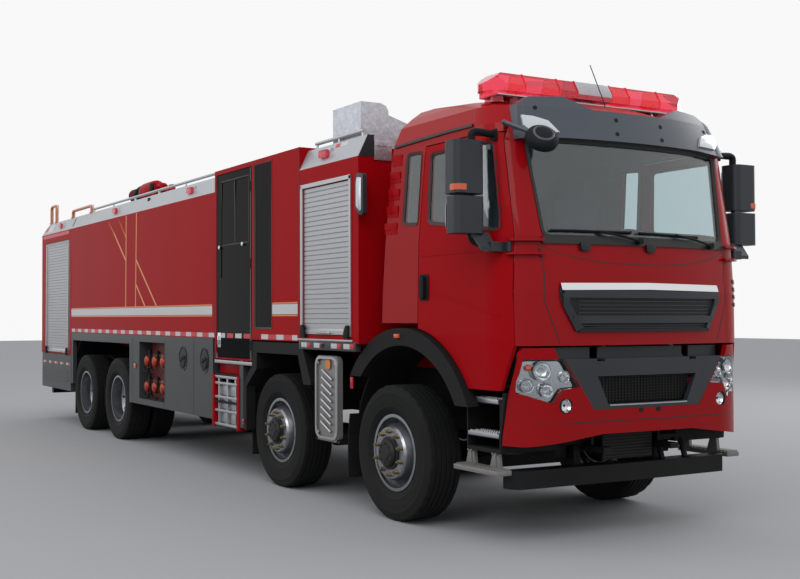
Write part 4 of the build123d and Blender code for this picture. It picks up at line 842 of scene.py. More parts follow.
# Light bar: clear middle, end seams, lamp modules hung under each half
bar = {"x": 0.877, "centre": 0.168, "seams": (0.17, 0.34, 0.66), "modules": (0.25, 0.45, 0.72, 0.86),
       "feet": (0.62, 0.4), "section": ((0.998, 3.198), (1.004, 3.25), (0.957, 3.334), (0.797, 3.334),
                                        (0.75, 3.25), (0.756, 3.198))}
x = bar["x"]
bm = bmesh.new()
addPrism(bm, bar["section"], alongY, -bar["centre"], bar["centre"], 0.004)
finishPiece("barMiddle", bm, silverLens, "cab")
bm = bmesh.new()
collar = [(a + (0.003 if a > x else -0.003), b + (0.003 if b > 3.3 else 0)) for a, b in bar["section"]]
for y in bar["seams"]:
    addPrism(bm, collar, alongY, y, y + 0.008)
for y in bar["modules"]:
    addRod(bm, (x + 0.04, y, 3.12), (x + 0.04, y, 3.172), 0.05, 20)
    addRod(bm, (x - 0.05, y, 3.125), (x - 0.05, y, 3.172), 0.035)
finishPiece("barModules", bm, redLensWithHighlight, "cab", both=True)
bm = bmesh.new()
for y in bar["feet"]:
    addTube(bm, [(x + 0.07, y, 3.17), (x + 0.09, y, 3.1), (x + 0.13, y, 3.075)], 0.012, 0.02, 10)
addBlock(bm, (x - 0.105, x + 0.105), (-0.9, 0.9), (3.165, 3.176), 0.003)
finishPiece("barFeet", bm, anodisedAluminium, "cab", both=True)

# Visor: plugged holes, silver lamp covers at both ends that rise softly from their rims
visorSkin = surfaceOf("cab_visor")
visor = {"plugs": ((-0.80, 3.03), (-0.159, 2.976), (-0.182, 2.871), (0.275, 2.963), (0.252, 2.859),
                   (0.838, 2.986)),
         "cover": ((0.672, 2.845), (0.885, 2.84), (0.94, 2.885), (0.93, 2.965), (0.84, 2.96),
                   (0.735, 2.93)),
         "rings": ((1, 0.0), (0.97, 0.014), (0.6, 0.02), (0.25, 0.021))}     # share of the outline, lift
bm = bmesh.new()
for y, z in visor["plugs"]:
    spot, normal = dropOn(visorSkin, alongX, y, z)
    if spot:
        addRod(bm, spot - normal * 0.01, spot + normal * 0.004, 0.0155, 20)
finishPiece("visorPlugs", bm, mouldedBlack, "cab")
bm = bmesh.new()
dense = [Vector(one).lerp(Vector(two), k / 5)
         for one, two in zip(visor["cover"], visor["cover"][1:] + visor["cover"][:1]) for k in range(5)]
middle = sum(dense, Vector((0, 0))) / len(dense)
rings = []
for share, lift in visor["rings"]:
    ring = []
    for point in dense:
        spot, normal = dropOn(visorSkin, alongX, *middle.lerp(point, share))
        ring.append(bm.verts.new(spot + normal * lift) if spot else None)
    rings.append(ring)
for one, two in zip(rings, rings[1:]):
    for k in range(len(dense)):
        after = (k + 1) % len(dense)
        quad = (one[k], two[k], two[after], one[after])
        if all(quad):
            bm.faces.new(quad)
if all(rings[-1]):
    bm.faces.new(rings[-1])
finishPiece("visorLampCovers", bm, silverCover, "cab", both=True)
print("cab front")

# Corner mirror and side mirrors: rounded housings, glass faces, repeater, joints
mirror = {"corner": Vector((1.44, -0.9, 2.765)), "cornerWay": Vector((0.72, -0.25, 0.62)).normalized(),
          "softEdge": 0.022, "armX": 1.165, "glass": ((2.44, 2.74), (2.17, 2.36)), "glassY": (1.245, 1.43),
          "cap": ((0.112, 0.0), (0.1145, 0.012), (0.1135, 0.034), (0.104, 0.052), (0.085, 0.068),
                  (0.055, 0.079), (0.0, 0.083)),
          "repeater": ((1.17, 1.463), (1.222, 1.463), (1.253, 1.43), (1.253, 1.375), (1.2, 1.375),
                       (1.17, 1.4)), "repeaterZ": (2.428, 2.47)}
for side, _ in sides:
    rounding = cadNodes[f"mirror_{side}"].modifiers.new("softEdges", "BEVEL")
    rounding.width = mirror["softEdge"]
    rounding.segments = 4
    rounding.limit_method = "ANGLE"
    rounding.angle_limit = radians(50)
bm = bmesh.new()
addTurned(bm, mirror["cap"], mirror["corner"], mirror["cornerWay"], 48)
addTurned(bm, [(0.108, -0.003), (0.0, -0.003)], mirror["corner"], mirror["cornerWay"], 48)
finishPiece("cornerMirrorCap", bm, mouldedBlack, "cab")
bm = bmesh.new()
addTurned(bm, [(0.102, -0.0045), (0.0, -0.008)], mirror["corner"], mirror["cornerWay"], 48)
finishPiece("cornerMirrorGlass", bm, chromedPlastic, "cab")
bm = bmesh.new()
for upright in mirror["glass"]:
    addPlate(bm, mirror["glassY"], upright, 0.03, alongX, (1.0785, 1.0815))
finishPair("mirrorGlass", bm, chromedPlastic, "cab_door")
bm = bmesh.new()
addPrism(bm, roundedOutline(mirror["repeater"], 0.01), alongZ, *mirror["repeaterZ"], 0.003)
finishPair("mirrorRepeater", bm, orangeLens, "cab_door")
bm = bmesh.new()
x = mirror["armX"]
addTube(bm, [(x, 1.275, 2.77), (x, 1.275, 2.832), (x, 1.24, 2.845), (x + 0.005, 1.09, 2.835)],
        0.026, 0.05, 16)
addBlock(bm, (x - 0.035, x + 0.04), (1.082, 1.1), (2.79, 2.87), 0.006)
addTube(bm, [(x, 1.275, 2.16), (x, 1.275, 2.1), (x + 0.035, 1.24, 2.075), (x + 0.095, 1.17, 2.05)],
        0.026, 0.04, 16)
finishPair("mirrorArms", bm, mouldedBlack, "cab_door")
print("mirrors")

# Inside the cab: steering wheel, its column and the hoods of the dashboard
steering = {"centre": Vector((0.945, 0.56, 2.12)), "tilt": radians(38), "radius": 0.22, "grip": 0.016}
centre, tilt = steering["centre"], steering["tilt"]


def onWheel(turn, radius):
    return centre + radius * Vector((-cos(turn) * cos(tilt), sin(turn), cos(turn) * sin(tilt)))


bm = bmesh.new()
addTube(bm, [onWheel(2 * pi * n / 32, steering["radius"]) for n in range(33)], steering["grip"], 0.01)
for turn in (0.5 * pi, 1.5 * pi, pi):
    addRod(bm, centre, onWheel(turn, steering["radius"] - 0.01), 0.02, 10, 0.013)
boss = [(0.065, -0.02), (0.07, 0.0), (0.05, 0.02), (0.0, 0.025)]
addTurned(bm, boss, centre, Vector((-sin(tilt), 0, cos(tilt))), 24)
addRod(bm, centre, centre + Vector((0.16, 0, -0.2)), 0.04)
finishPiece("steeringWheel", bm, mouldedBlack, "cab")
bm = bmesh.new()
hood = [(1.0, 2.08), (1.19, 2.095), (1.22, 2.14), (1.16, 2.21), (1.03, 2.2)]
ledge = [(1.03, 2.09), (1.3, 2.1), (1.3, 2.125), (1.04, 2.13)]
addPrism(bm, roundedOutline(hood, 0.03), alongY, 0.32, 0.84, 0.02, 3)
addPrism(bm, roundedOutline(ledge, 0.012), alongY, -0.83, 0.27, 0.01)
finishPiece("dashHood", bm, dashSkin, "cab")
print("cab inside")

# Crew doors and panes: grey frames, dividing lines, locks, sills and hinges
crew = {"door": (-3.25, -2.39, 1.15, 3.045), "window": (-3.123, -2.46, 2.313, 2.965),
        "pane": (-2.33, -1.96, 1.475, 3.045), "dividerX": -2.794, "locks": ((-3.155, 2.295), (-2.592, 2.3)),
        "hinge": (-2.414, 1.238), "hingeZ": (1.3, 2.1, 2.85)}
crewSkin = surfaceOf("crew_door_left", "crew_cabin", "crew_panes")
left, right, low, high = crew["door"]
bm = bmesh.new()
for path, width in ((((left + 0.02, low + 0.01), (left + 0.02, high - 0.01)), 0.035),
                    (((right - 0.02, low + 0.01), (right - 0.02, high - 0.01)), 0.035),
                    (((left, high - 0.045), (right, high - 0.045)), 0.085),
                    (((left, low + 0.015), (right, low + 0.015)), 0.03)):
    layStrip(bm, crewSkin, alongY, path, width, 0.003, 0.006, 0.5)
finishPair("crewDoorFrame", bm, skirtGrey, "crew_door")
bm = bmesh.new()
x, (_, _, low, high) = crew["dividerX"], crew["window"]
layStrip(bm, crewSkin, alongY, rectangle(*crew["window"]), 0.014, 0.0025, 0.004, 0.3, True)
layStrip(bm, crewSkin, alongY, ((x, low), (x, high)), 0.022, 0.003, 0.004, 0.3)
finishPair("crewDoorLines", bm, sealRubber, "crew_door")
bm = bmesh.new()
for x, z in crew["locks"]:
    addRod(bm, (x, 1.236, z), (x, 1.262, z), 0.02, 24)
    addRod(bm, (x, 1.262, z), (x, 1.268, z), 0.013, 20)
addPlate(bm, (-3.2, -3.12), (1.27, 1.42), 0.01, alongY, (1.249, 1.257), 0.002)
addBlock(bm, (-3.172, -3.148), (1.256, 1.275), (1.3, 1.39), 0.006)
finishPair("crewDoorLocks", bm, chromedPlastic, "crew_door")
bm = bmesh.new()
layStrip(bm, crewSkin, alongY, rectangle(*crew["pane"]), 0.03, 0.003, 0.006, 0.5, True)
finishPiece("paneFrames", bm, sealRubber, both=True)
bm = bmesh.new()
addBlock(bm, (-3.285, -2.385), (1.1, 1.256), (1.108, 1.142), 0.004)
finishPiece("crewSills", bm, anodisedAluminium, both=True)
bm = bmesh.new()
x, y = crew["hinge"]     # on the hinge's own axis
for z in crew["hingeZ"]:
    addRod(bm, (x, y, z - 0.05), (x, y, z + 0.05), 0.021, 20)
finishPair("crewDoorHinges", bm, mouldedBlack, "crew_door")
print("crew doors")

# Stripes, marking rows and pinstripes on both sides
marks = {"stripes": ((-8.57, -3.36), (-1.95, -1.435)), "stripeZ": 1.65, "stripeWidth": 0.092,
         "edgeGap": 0.057, "rowZ": 1.393, "rowHeight": 0.046, "rowStart": -8.54, "rowEnd": -1.44,
         "pitch": 0.318, "white": 0.15, "red": 0.16, "door": (-3.3, -2.36),
         "lines": (((-6.115, 2.872), (-6.13, 1.71)), ((-5.727, 2.872), (-5.759, 1.71)),
                   ((-6.85, 2.872), (-6.116, 2.29)), ((-5.734, 2.288), (-5.02, 1.712)),
                   ((-6.43, 2.872), (-6.118, 2.591)), ((-5.735, 1.979), (-5.415, 1.712))),
         "sill": (-1.36, -1.13, -0.83, -0.62)}
bodySkin = surfaceOf("tank_section", "crew_cabin", "crew_panes", "locker_section", "rear_section",
                     "roller_shutters")
white, amber, red = (bmesh.new() for _ in range(3))
for start, end in marks["stripes"]:
    z = marks["stripeZ"]
    layFilm(white, bodySkin, start, end, z, marks["stripeWidth"], 0.0008)
    for level in (z - marks["edgeGap"], z + marks["edgeGap"]):
        layFilm(amber, bodySkin, start, end, level, 0.013, 0.0009)
x, z, height, last = (marks[key] for key in ("rowStart", "rowZ", "rowHeight", "rowEnd"))
doorRear, doorFront = marks["door"]
while x < last - 0.06:
    if not doorRear < x < doorFront:
        layFilm(white, bodySkin, x, min(x + marks["white"], last), z, height, 0.0009)
        after = x + marks["white"] + 0.004
        if after + marks["red"] < last and not doorRear - 0.1 < after < doorFront:
            layFilm(red, bodySkin, after, after + marks["red"], z, height, 0.0008)
    x += marks["pitch"]
for one, two in marks["lines"]:
    layStrip(amber, bodySkin, alongY, (one, two), 0.028, 0.001, 0.001, 0.3)
for x in marks["sill"]:
    addBlock(white, (x, x + 0.1), (1.2505, 1.2535), (1.314, 1.356), 0.0008)
    addBlock(red, (x + 0.105, x + 0.165), (1.2505, 1.2535), (1.314, 1.356), 0.0008)
finishPiece("whiteMarkings", white, whiteFilm, both=True)
finishPiece("amberLines", amber, amberFilm, both=True)
finishPiece("redMarkings", red, redFilm, both=True)
white, red = bmesh.new(), bmesh.new()
for x, film in ((-3.18, white), (-2.98, red), (-2.78, white), (-2.58, red)):
    layFilm(film, crewSkin, x, x + marks["white"], z, height)
finishPair("doorMarkWhite", white, whiteFilm, "crew_door")
finishPair("doorMarkRed", red, redFilm, "crew_door")
print("markings")

# Shutters: frames, bottom bars with handles, corner locks, and the sills below
shutters = (
    # rear x, front x, low z, high z of the opening
    (-1.325, -0.52, 1.477, 2.705),
    (-9.93, -8.75, 1.10, 2.69),
)
frames, bars, locks = (bmesh.new() for _ in range(3))
for left, right, low, high in shutters:
    for path, width in ((((left - 0.022, low - 0.06), (left - 0.022, high + 0.03)), 0.036),
                        (((right + 0.018, low - 0.06), (right + 0.018, high + 0.03)), 0.03),
                        (((left - 0.04, high + 0.02), (right + 0.033, high + 0.02)), 0.034)):
        layStrip(frames, bodySkin, alongY, path, width, 0.012, 0.02, 1)
    section = [(1.226, low - 0.05), (1.262, low - 0.045), (1.262, low - 0.015), (1.246, low + 0.005),
               (1.226, low + 0.005)]
    addPrism(bars, section, alongX, left + 0.01, right - 0.01, 0.003)
    addTube(bars, [(x, y, low - 0.03) for x, y in ((left + 0.3, 1.262), (left + 0.3, 1.283),
                                                   (right - 0.3, 1.283), (right - 0.3, 1.262))],
            0.008, 0.02, 10)
    for x, way in ((left + 0.02, 1), (right - 0.02, -1)):
        outline = [(x + a * way, low + b) for a, b in ((-0.03, -0.075), (0.05, -0.075), (0.03, 0),
                                                       (0, 0.035), (-0.03, 0.03))]
        addPrism(locks, roundedOutline(outline, 0.01), alongY, 1.25, 1.279, 0.004)
finishPiece("shutterFrames", frames, anodisedAluminium, both=True)
finishPiece("shutterBars", bars, anodisedAluminium, both=True)
finishPiece("shutterLocks", locks, mouldedBlack, both=True)
bm = bmesh.new()
addBlock(bm, (-1.42, -0.47), (1.2, 1.262), (1.374, 1.39), 0.003)
finishPiece("lockerSills", bm, anodisedAluminium, both=True)
bm = bmesh.new()
addBlock(bm, (-1.41, -0.43), (1.2, 1.252), (1.296, 1.374), 0.003)
addBlock(bm, (-1.0, -0.962), (1.25, 1.268), (1.318, 1.352), 0.006)
finishPiece("sillBands", bm, skirtGrey, both=True)
print("shutters")

# Corner scene lamps, roof edge lamps, side markers and reflectors
sideLamp = {"edgeX": (-0.984, -4.025, -6.636, -9.238), "edgeZ": (2.932, 3.018), "half": 0.085,
            "plug": (-5.452, 3.0),
            "case": ((-0.376, 2.45), (-0.376, 2.67), (-0.345, 2.735), (-0.25, 2.72), (-0.25, 2.4),
                     (-0.30, 2.39)),
            "glow": ((-0.352, 2.47), (-0.352, 2.655), (-0.338, 2.7), (-0.275, 2.69), (-0.275, 2.43),
                     (-0.3, 2.425))}
for name, material, outline, corner, depth, edge in (
        ("sceneLampBodies", mouldedGrey, sideLamp["case"], 0.012, (1.249, 1.285), 0.006),
        ("sceneLampGlow", silverCover, sideLamp["glow"], 0.01, (1.284, 1.29), 0.002)):
    bm = bmesh.new()
    addPrism(bm, roundedOutline(outline, corner), alongY, *depth, edge)
    finishPiece(name, bm, material, both=True)
edgeSkin = surfaceOf("roof_edges")
frames, lenses, plug = (bmesh.new() for _ in range(3))
for x in sideLamp["edgeX"]:
    y, reach = dropOn(edgeSkin, alongY, x, sum(sideLamp["edgeZ"]) / 2)[0].y, sideLamp["half"]
    addBlock(frames, (x - reach, x + reach), (y - 0.03, y + 0.016), sideLamp["edgeZ"], 0.006)
    addPlate(lenses, (x - 0.07, x + 0.07), (2.943, 3.007), 0.01, alongY, (y + 0.01, y + 0.046), 0.01, 3)
spot, _ = dropOn(edgeSkin, alongY, *sideLamp["plug"])
addRod(plug, spot - leftward * 0.02, spot + leftward * 0.004, 0.036, 24)
finishPiece("strobeFrames", frames, anodisedAluminium, both=True)
finishPiece("strobeLenses", lenses, redLensWithHighlight, both=True)
finishPiece("roofEdgePlugs", plug, mouldedBlack, both=True)
white, red = bmesh.new(), bmesh.new()
layFilm(white, edgeSkin, -0.79, -0.66, 3.03, 0.032)
layFilm(red, edgeSkin, -0.87, -0.8, 3.03, 0.032)
finishPiece("edgeWhite", white, whiteFilm, both=True)
finishPiece("edgeRed", red, redFilm, both=True)
copyFaces("edgeEndCaps", "roof_edges", sealRubber, "chassis",
          lambda spot, normal: normal.x > 0.9 and spot.x > -0.5)
amber, red = bmesh.new(), bmesh.new()
addBlock(amber, (0.08, 0.148), (1.19, 1.214), (1.416, 1.448), 0.005)
addBlock(amber, (-5.79, -5.73), (1.248, 1.262), (0.95, 1.01), 0.004)
addBlock(red, (-0.6, -0.56), (1.192, 1.204), (0.99, 1.085), 0.004)
addBlock(red, (-2.6, -2.55), (1.248, 1.262), (0.53, 0.58), 0.004)
finishPiece("sideMarkers", amber, orangeLens, both=True)
finishPiece("sideReflectors", red, redLensWithHighlight, both=True)
print("side lamps")

# Steps: serrated treads, cast hanging step, crew ladder
treads = {"plates": ((0.764, 1.21), (0.999, 1.205)), "rear": 0.864, "stud": 0.026, "row": 0.045}
bm = bmesh.new()
for z, reach in treads["plates"]:
    addBlock(bm, (treads["rear"], reach), (0.9, 1.088), (z + 0.001, z + 0.009))
    addBlock(bm, (treads["rear"], reach), (1.082, 1.09), (z - 0.018, z + 0.009))
    for row in range(3):
        for n in range(int((reach - 0.88) / treads["stud"])):
            x, y = 0.882 + n * treads["stud"], 1.075 - row * treads["row"]
            addRod(bm, (x, y, z + 0.008), (x, y, z + 0.017), 0.009, 8, 0.006)
finishPiece("stepTreads", bm, anodisedAluminium, both=True)
bm = bmesh.new()
addBlock(bm, (0.796, 1.29), (1.042, 1.17), (0.5, 0.536), 0.006)
for n in range(15):
    x = 0.82 + n * 0.032
    addBlock(bm, (x, x + 0.014), (1.05, 1.163), (0.535, 0.546), 0.003)
hanger = (((-0.004, 0.53), (0.104, 0.53), (0.09, 0.66), (0.036, 0.66)),
          ((0.022, 0.53), (0.078, 0.53), (0.07, 0.655), (0.052, 0.655)))
for x in (0.815, 1.09):
    for outline, depth in zip(hanger, ((1.042, 1.074), (1.07, 1.082))):
        addPrism(bm, [(x + a, z) for a, z in outline], alongY, *depth, 0.004)
    for bolt in (x + 0.045, x + 0.08):
        addRod(bm, (bolt, 1.074, 0.636), (bolt, 1.09, 0.636), 0.008, 6)
finishPiece("hangingSteps", bm, castAluminium, both=True)
red, silver = bmesh.new(), bmesh.new()
ladder = {"sides": ((-3.338, -3.285), (-2.725, -2.672)), "x": (-3.286, -2.724),
          "rungs": (0.47, 0.61, 0.748, 0.89, 0.955), "backs": (0.5, 0.64, 0.78), "bars": (-3.21, -3.0, -2.8)}
for left, right in ladder["sides"]:
    addPrism(red, [(left, 0.45), (right, 0.45), (right, 0.975), (left, 1.0)], alongY, 1.15, 1.262, 0.006)
addBlock(red, (-3.29, -2.72), (1.1, 1.19), (1.0, 1.1), 0.004)
for z in ladder["rungs"]:
    addBlock(silver, ladder["x"], (1.16, 1.253), (z, z + 0.026), 0.004)
for z in ladder["backs"]:
    addBlock(silver, ladder["x"], (1.2, 1.212), (z, z + 0.1), 0.003)
for x in ladder["bars"]:
    addBlock(silver, (x - 0.015, x + 0.015), (1.21, 1.24), (0.47, 0.97), 0.003)
finishPiece("ladderSides", red, enamelRed, both=True)
finishPiece("ladderRungs", silver, anodisedAluminium, both=True)
print("steps")

# Step board: raised rim, eight slanting ribs, screws and a yellow spot
board = {"across": (-1.098, -0.717), "up": (0.545, 1.248), "rim": 0.024, "floorY": 1.2495, "rimY": 1.2605,
         "ribs": 8, "ribStart": (-0.985, 1.127), "ribStep": (-0.0034, -0.0626), "ribRun": (0.173, -0.077),
         "screws": ((-1.05, 1.19), (-0.765, 1.19), (-1.05, 0.6), (-0.765, 0.6))}
(left, right), (low, high), inset = board["across"], board["up"], board["rim"]
outer = roundedOutline(rectangle(left, right, low, high), 0.09, 6)
inner = roundedOutline(rectangle(left + inset, right - inset, low + inset, high - inset), 0.08, 6)
shrunk = [(a * 0.99 - 0.00908, b * 0.99 + 0.00897) for a, b in outer]
bm = bmesh.new()
rings = [[bm.verts.new((a, y, b)) for a, b in outline]
         for outline, y in ((outer, board["floorY"]), (shrunk, board["rimY"]), (inner, board["rimY"]),
                            (inner, board["floorY"]))]
for one, two in zip(rings, rings[1:]):
    for k in range(len(outer)):
        after = (k + 1) % len(outer)
        bm.faces.new((one[k], two[k], two[after], one[after]))
for n in range(board["ribs"]):
    x, z = (start + n * shift for start, shift in zip(board["ribStart"], board["ribStep"]))
    run = board["ribRun"]
    addTube(bm, [(x, 1.2515, z), (x + run[0], 1.2515, z + run[1])], 0.0095, 0.01, 8)
for x, z in board["screws"]:
    addRod(bm, (x, 1.249, z), (x, 1.256, z), 0.011)
finishPair("stepBoardRibs", bm, anodisedAluminium, "step_board")
bm = bmesh.new()
addPlate(bm, (-0.925, -0.845), (1.14, 1.215), 0.03, alongY, (1.2495, 1.2525))
finishPair("stepBoardSpot", bm, amberFilm, "step_board")
print("step board")

# Couplings: necks, caps with lugs, valves with handles, chains
coupling = {"columns": (-5.47, -5.2, -4.93), "rows": (0.74, 1.05), "neckY": 1.095, "capY": 1.178,
            "neck": ((0.082, 0.0), (0.082, 0.014), (0.052, 0.018), (0.052, 0.07), (0.074, 0.072),
                     (0.074, 0.084), (0.0, 0.084)),
            "cap": ((0.066, 0.0), (0.066, 0.022), (0.061, 0.036), (0.046, 0.046), (0.024, 0.05),
                    (0.0, 0.05)),
            "lugTurn": 0.75 / pi}     # half a radian, as a share of a third of a turn
necks, caps, valves, chains = (bmesh.new() for _ in range(4))
for x, z in [(x, z) for x in coupling["columns"] for z in coupling["rows"]]:
    addTurned(necks, coupling["neck"], (x, coupling["neckY"], z), leftward, 40)
    addTurned(caps, coupling["cap"], (x, coupling["capY"], z), leftward, 40)
    for a, b in spotsAround(3, 1, coupling["lugTurn"]):
        addRod(caps, (x + 0.055 * a, 1.19, z + 0.055 * b), (x + 0.084 * a, 1.19, z + 0.084 * b), 0.012, 10)
    addTube(valves, [(x + 0.05, 1.16, z + 0.1), (x + 0.09, 1.205, z + 0.135), (x + 0.12, 1.21, z + 0.06)],
            0.013, 0.03, 10)
    addRod(valves, (x + 0.12, 1.21, z + 0.065), (x + 0.122, 1.21, z + 0.01), 0.017, 12)
    for n in range(9):
        t = n / 8
        spot = Vector((x - 0.1 + 0.2 * t, 1.226, z - 0.075 - 0.22 * t * (1 - t)))
        turn = (leftward if n % 2 else upward) * 0.008
        addRod(chains, spot - forward * 0.013 + turn, spot + forward * 0.013 - turn, 0.0045, 6)
finishPiece("inletNecks", necks, zincYellow, replaces=["inlet_couplings"], both=True)
finishPiece("inletCaps", caps, couplingRed, both=True)
finishPiece("inletValves", valves, mouldedBlack, both=True)
finishPiece("inletChains", chains, castHub, both=True)
# the bay's back wall, in the red that is darkened as painted shade
recess = bmesh.new()
addPrism(recess, rectangle(-5.6, -4.78, 0.6, 1.28), alongY, 1.085, 1.095, 0.002)
finishPiece("inletRecess", recess, shadedBayRed, both=True)

# Ports, seams, film and ribs of the skirt; each port opening gets a flat black disc as painted shade of its
# inside
skirt = {"ports": (-4.175, -3.565), "portZ": 1.118, "rim": (0.105, 0.128), "hole": (0.097, 0.12),
         "seams": ((-4.745, 0.53, 1.31), (-3.87, 0.52, 1.33), (-5.88, 0.62, 1.33)),
         "bodySeams": (-8.585, -3.3, -1.405), "ribs": (0.64, 0.7, 0.765), "filmZ": 0.893}
panelSkin = surfaceOf("lower_panels")
rims, portShadeDiscs, pipes = (bmesh.new() for _ in range(3))
for x in skirt["ports"]:
    rim, hole = ([(x + wide * a, skirt["portZ"] + tall * b) for a, b in spotsAround(36, 1)]
                 for wide, tall in (skirt["rim"], skirt["hole"]))
    layStrip(rims, panelSkin, alongY, rim, 0.018, 0.006, 0.012, 0.05, True)
    # a flat black disc in the opening: painted shade standing for the port's dark inside
    addPrism(portShadeDiscs, hole, alongY, 1.235, 1.2505)
    addTurned(pipes, [(0.07, -0.01), (0.07, 0.014), (0.055, 0.018), (0.05, 0.014), (0.0, 0.013)],
              (x + 0.005, 1.245, 1.09), leftward)
    addRod(pipes, (x - 0.05, 1.262, 1.1), (x + 0.06, 1.262, 1.14), 0.007, 8)
finishPiece("portRims", rims, skirtGrey, both=True)
finishPiece("portHoleShades", portShadeDiscs, sealRubber, both=True)
finishPiece("portCouplings", pipes, castHub, both=True)
seams = bmesh.new()
for x, low, high in skirt["seams"]:
    layStrip(seams, panelSkin, alongY, ((x, low), (x, high)), 0.006, 0.0012, 0.002, 0.3)
layStrip(seams, bodySkin, alongY, ((-8.55, 1.352), (-3.36, 1.352)), 0.01, 0.0012, 0.002, 0.6)
for x in skirt["bodySeams"]:
    layStrip(seams, bodySkin, alongY, ((x, 1.4), (x, 3.04)), 0.008, 0.0012, 0.002, 0.5)
finishPiece("bodySeams", seams, sealRubber, both=True)
white, red, ribs = (bmesh.new() for _ in range(3))
for n in range(5):
    x = -10.12 + n * 0.32
    layFilm(white, panelSkin, x, x + 0.1, skirt["filmZ"], 0.034)
    layFilm(red, panelSkin, x + 0.104, x + 0.2, skirt["filmZ"], 0.034)
for z in skirt["ribs"]:
    layStrip(ribs, panelSkin, alongY, ((-10.19, z), (-8.75, z)), 0.02, 0.007, 0.01, 0.4)
finishPiece("skirtWhite", white, whiteFilm, both=True)
finishPiece("skirtRed", red, redFilm, both=True)
finishPiece("skirtRibs", ribs, skirtGrey, both=True)
print("couplings and skirt")

# Rear: lamp clusters, plain plate, ladder, white and red corner marks, seam of the rear module
rear = {"x": -10.23, "lampZ": 0.78, "redY": (0.86, 1.06), "orangeY": 0.96, "ladderY": (0.64, 1.02),
        "rungs": 7, "rungZ": 1.15, "rungStep": 0.29,
        "lamp": ((0.042, 0.0), (0.042, 0.018), (0.03, 0.026), (0.0, 0.028))}
x = rear["x"]
clusters, orange, metal, black = (bmesh.new() for _ in range(4))
for lamps, y in ((clusters, rear["redY"][0]), (orange, rear["orangeY"]), (clusters, rear["redY"][1])):
    addTurned(lamps, rear["lamp"], (x, y, rear["lampZ"]), -forward, 28)
addBlock(black, (x - 0.008, x + 0.02), (0.79, 1.13), (0.72, 0.84), 0.004)
addBlock(black, (x - 0.008, x + 0.02), (0.0, 0.26), (0.7, 0.84), 0.004)
finishPiece("tailLamps", clusters, redLensWithHighlight, both=True)
finishPiece("turnLamps", orange, orangeLens, both=True)
finishPiece("lampPanels", black, mouldedBlack, both=True)
near, far = rear["ladderY"]
for y in (near, far):
    addTube(metal, [(x + 0.03, y, 1.0), (x - 0.07, y, 1.06), (x - 0.07, y, 3.0), (x + 0.12, y, 3.12)],
            0.017, 0.06)
for n in range(rear["rungs"]):
    z = rear["rungZ"] + n * rear["rungStep"]
    addRod(metal, (x - 0.07, near, z), (x - 0.07, far, z), 0.014, 12)
finishPiece("rearLadder", metal, anodisedAluminium)
rearSkin = surfaceOf("roof_edges", "rear_section")
white, red, seam = (bmesh.new() for _ in range(3))
layStrip(white, rearSkin, alongY, ((-9.98, 2.97), (-9.66, 2.97)), 0.12, 0.0015, 0.002, 0.1)
layStrip(red, rearSkin, alongY, ((-10.14, 2.98), (-9.99, 2.98)), 0.1, 0.0015, 0.002, 0.1)
layStrip(red, rearSkin, alongY, ((-10.15, 2.84), (-8.7, 2.84)), 0.05, 0.0012, 0.002, 0.4)
layStrip(seam, rearSkin, alongY, ((-8.575, 2.86), (-8.575, 3.03)), 0.02, 0.004, 0.008, 0.05)
finishPiece("rearCornerWhite", white, whiteFilm, both=True)
finishPiece("rearCornerRed", red, redFilm, both=True)
finishPiece("roofEdgeSeams", seam, sealRubber, both=True)
print("rear")

# Roof: tread plate walkway, tank lids, orange hoops, base and aprons of the box
roof = {"z": 2.966, "walkway": ((-9.9, -8.6), (-7.7, -5.1), (-4.9, -3.4)), "lids": (-6.9, -5.9, -4.3),
        "lid": ((0.26, 0.0), (0.26, 0.05), (0.245, 0.06), (0.0, 0.072)), "hoopY": 1.147, "hoopFoot": 3.062,
        # rear x, front x, top of each hoop
        "hoops": ((-10.05, -9.76, 3.33), (-8.85, -7.92, 3.165))}
bm = bmesh.new()
for ends in roof["walkway"]:
    addBlock(bm, ends, (-0.95, 0.95), (roof["z"] - 0.005, roof["z"]), 0.001)
addBlock(bm, (-3.1, -1.5), (-0.9, 0.9), (3.092, 3.096), 0.001)
finishPiece("roofTreadPlates", bm, treadPlate)
lids, grips = bmesh.new(), bmesh.new()
for x in roof["lids"]:
    addTurned(lids, roof["lid"], (x, 0, roof["z"]), upward, 48)
    grip = ((x - 0.09, 3.03), (x - 0.09, 3.075), (x + 0.09, 3.075), (x + 0.09, 3.03))
    addTube(grips, [(a, 0, z) for a, z in grip], 0.01, 0.03, 10)
    addBlock(grips, (x + 0.23, x + 0.3), (-0.05, 0.05), (2.965, 3.035), 0.006)
finishPiece("tankLids", lids, anodisedAluminium)
finishPiece("tankLidGrips", grips, mouldedBlack)
bm = bmesh.new()
y, foot = roof["hoopY"], roof["hoopFoot"]
for left, right, top in roof["hoops"]:
    addTube(bm, [(left, y, foot), (left, y, top), (right, y, top), (right, y, foot)], 0.0215, 0.06, 14)
    for x in (left, right):
        addRod(bm, (x, y, foot - 0.001), (x, y, foot + 0.008), 0.036, 20)
finishPiece("orangeHoops", bm, hoopOrange, both=True)
bm = bmesh.new()
addBlock(bm, (-1.012, -0.617), (-0.822, 0.822), (roof["z"], 3.05), 0.004)
finishPiece("roofBoxBase", bm, mouldedGrey)
bm = bmesh.new()
addBlock(bm, (-0.378, -0.37), (0.935, 1.1), (2.856, 3.02))
addBlock(bm, (-0.59, -0.37), (0.935, 1.1), (roof["z"], roof["z"] + 0.008))
finishPiece("roofBoxAprons", bm, treadPlate, both=True)
print("roof")

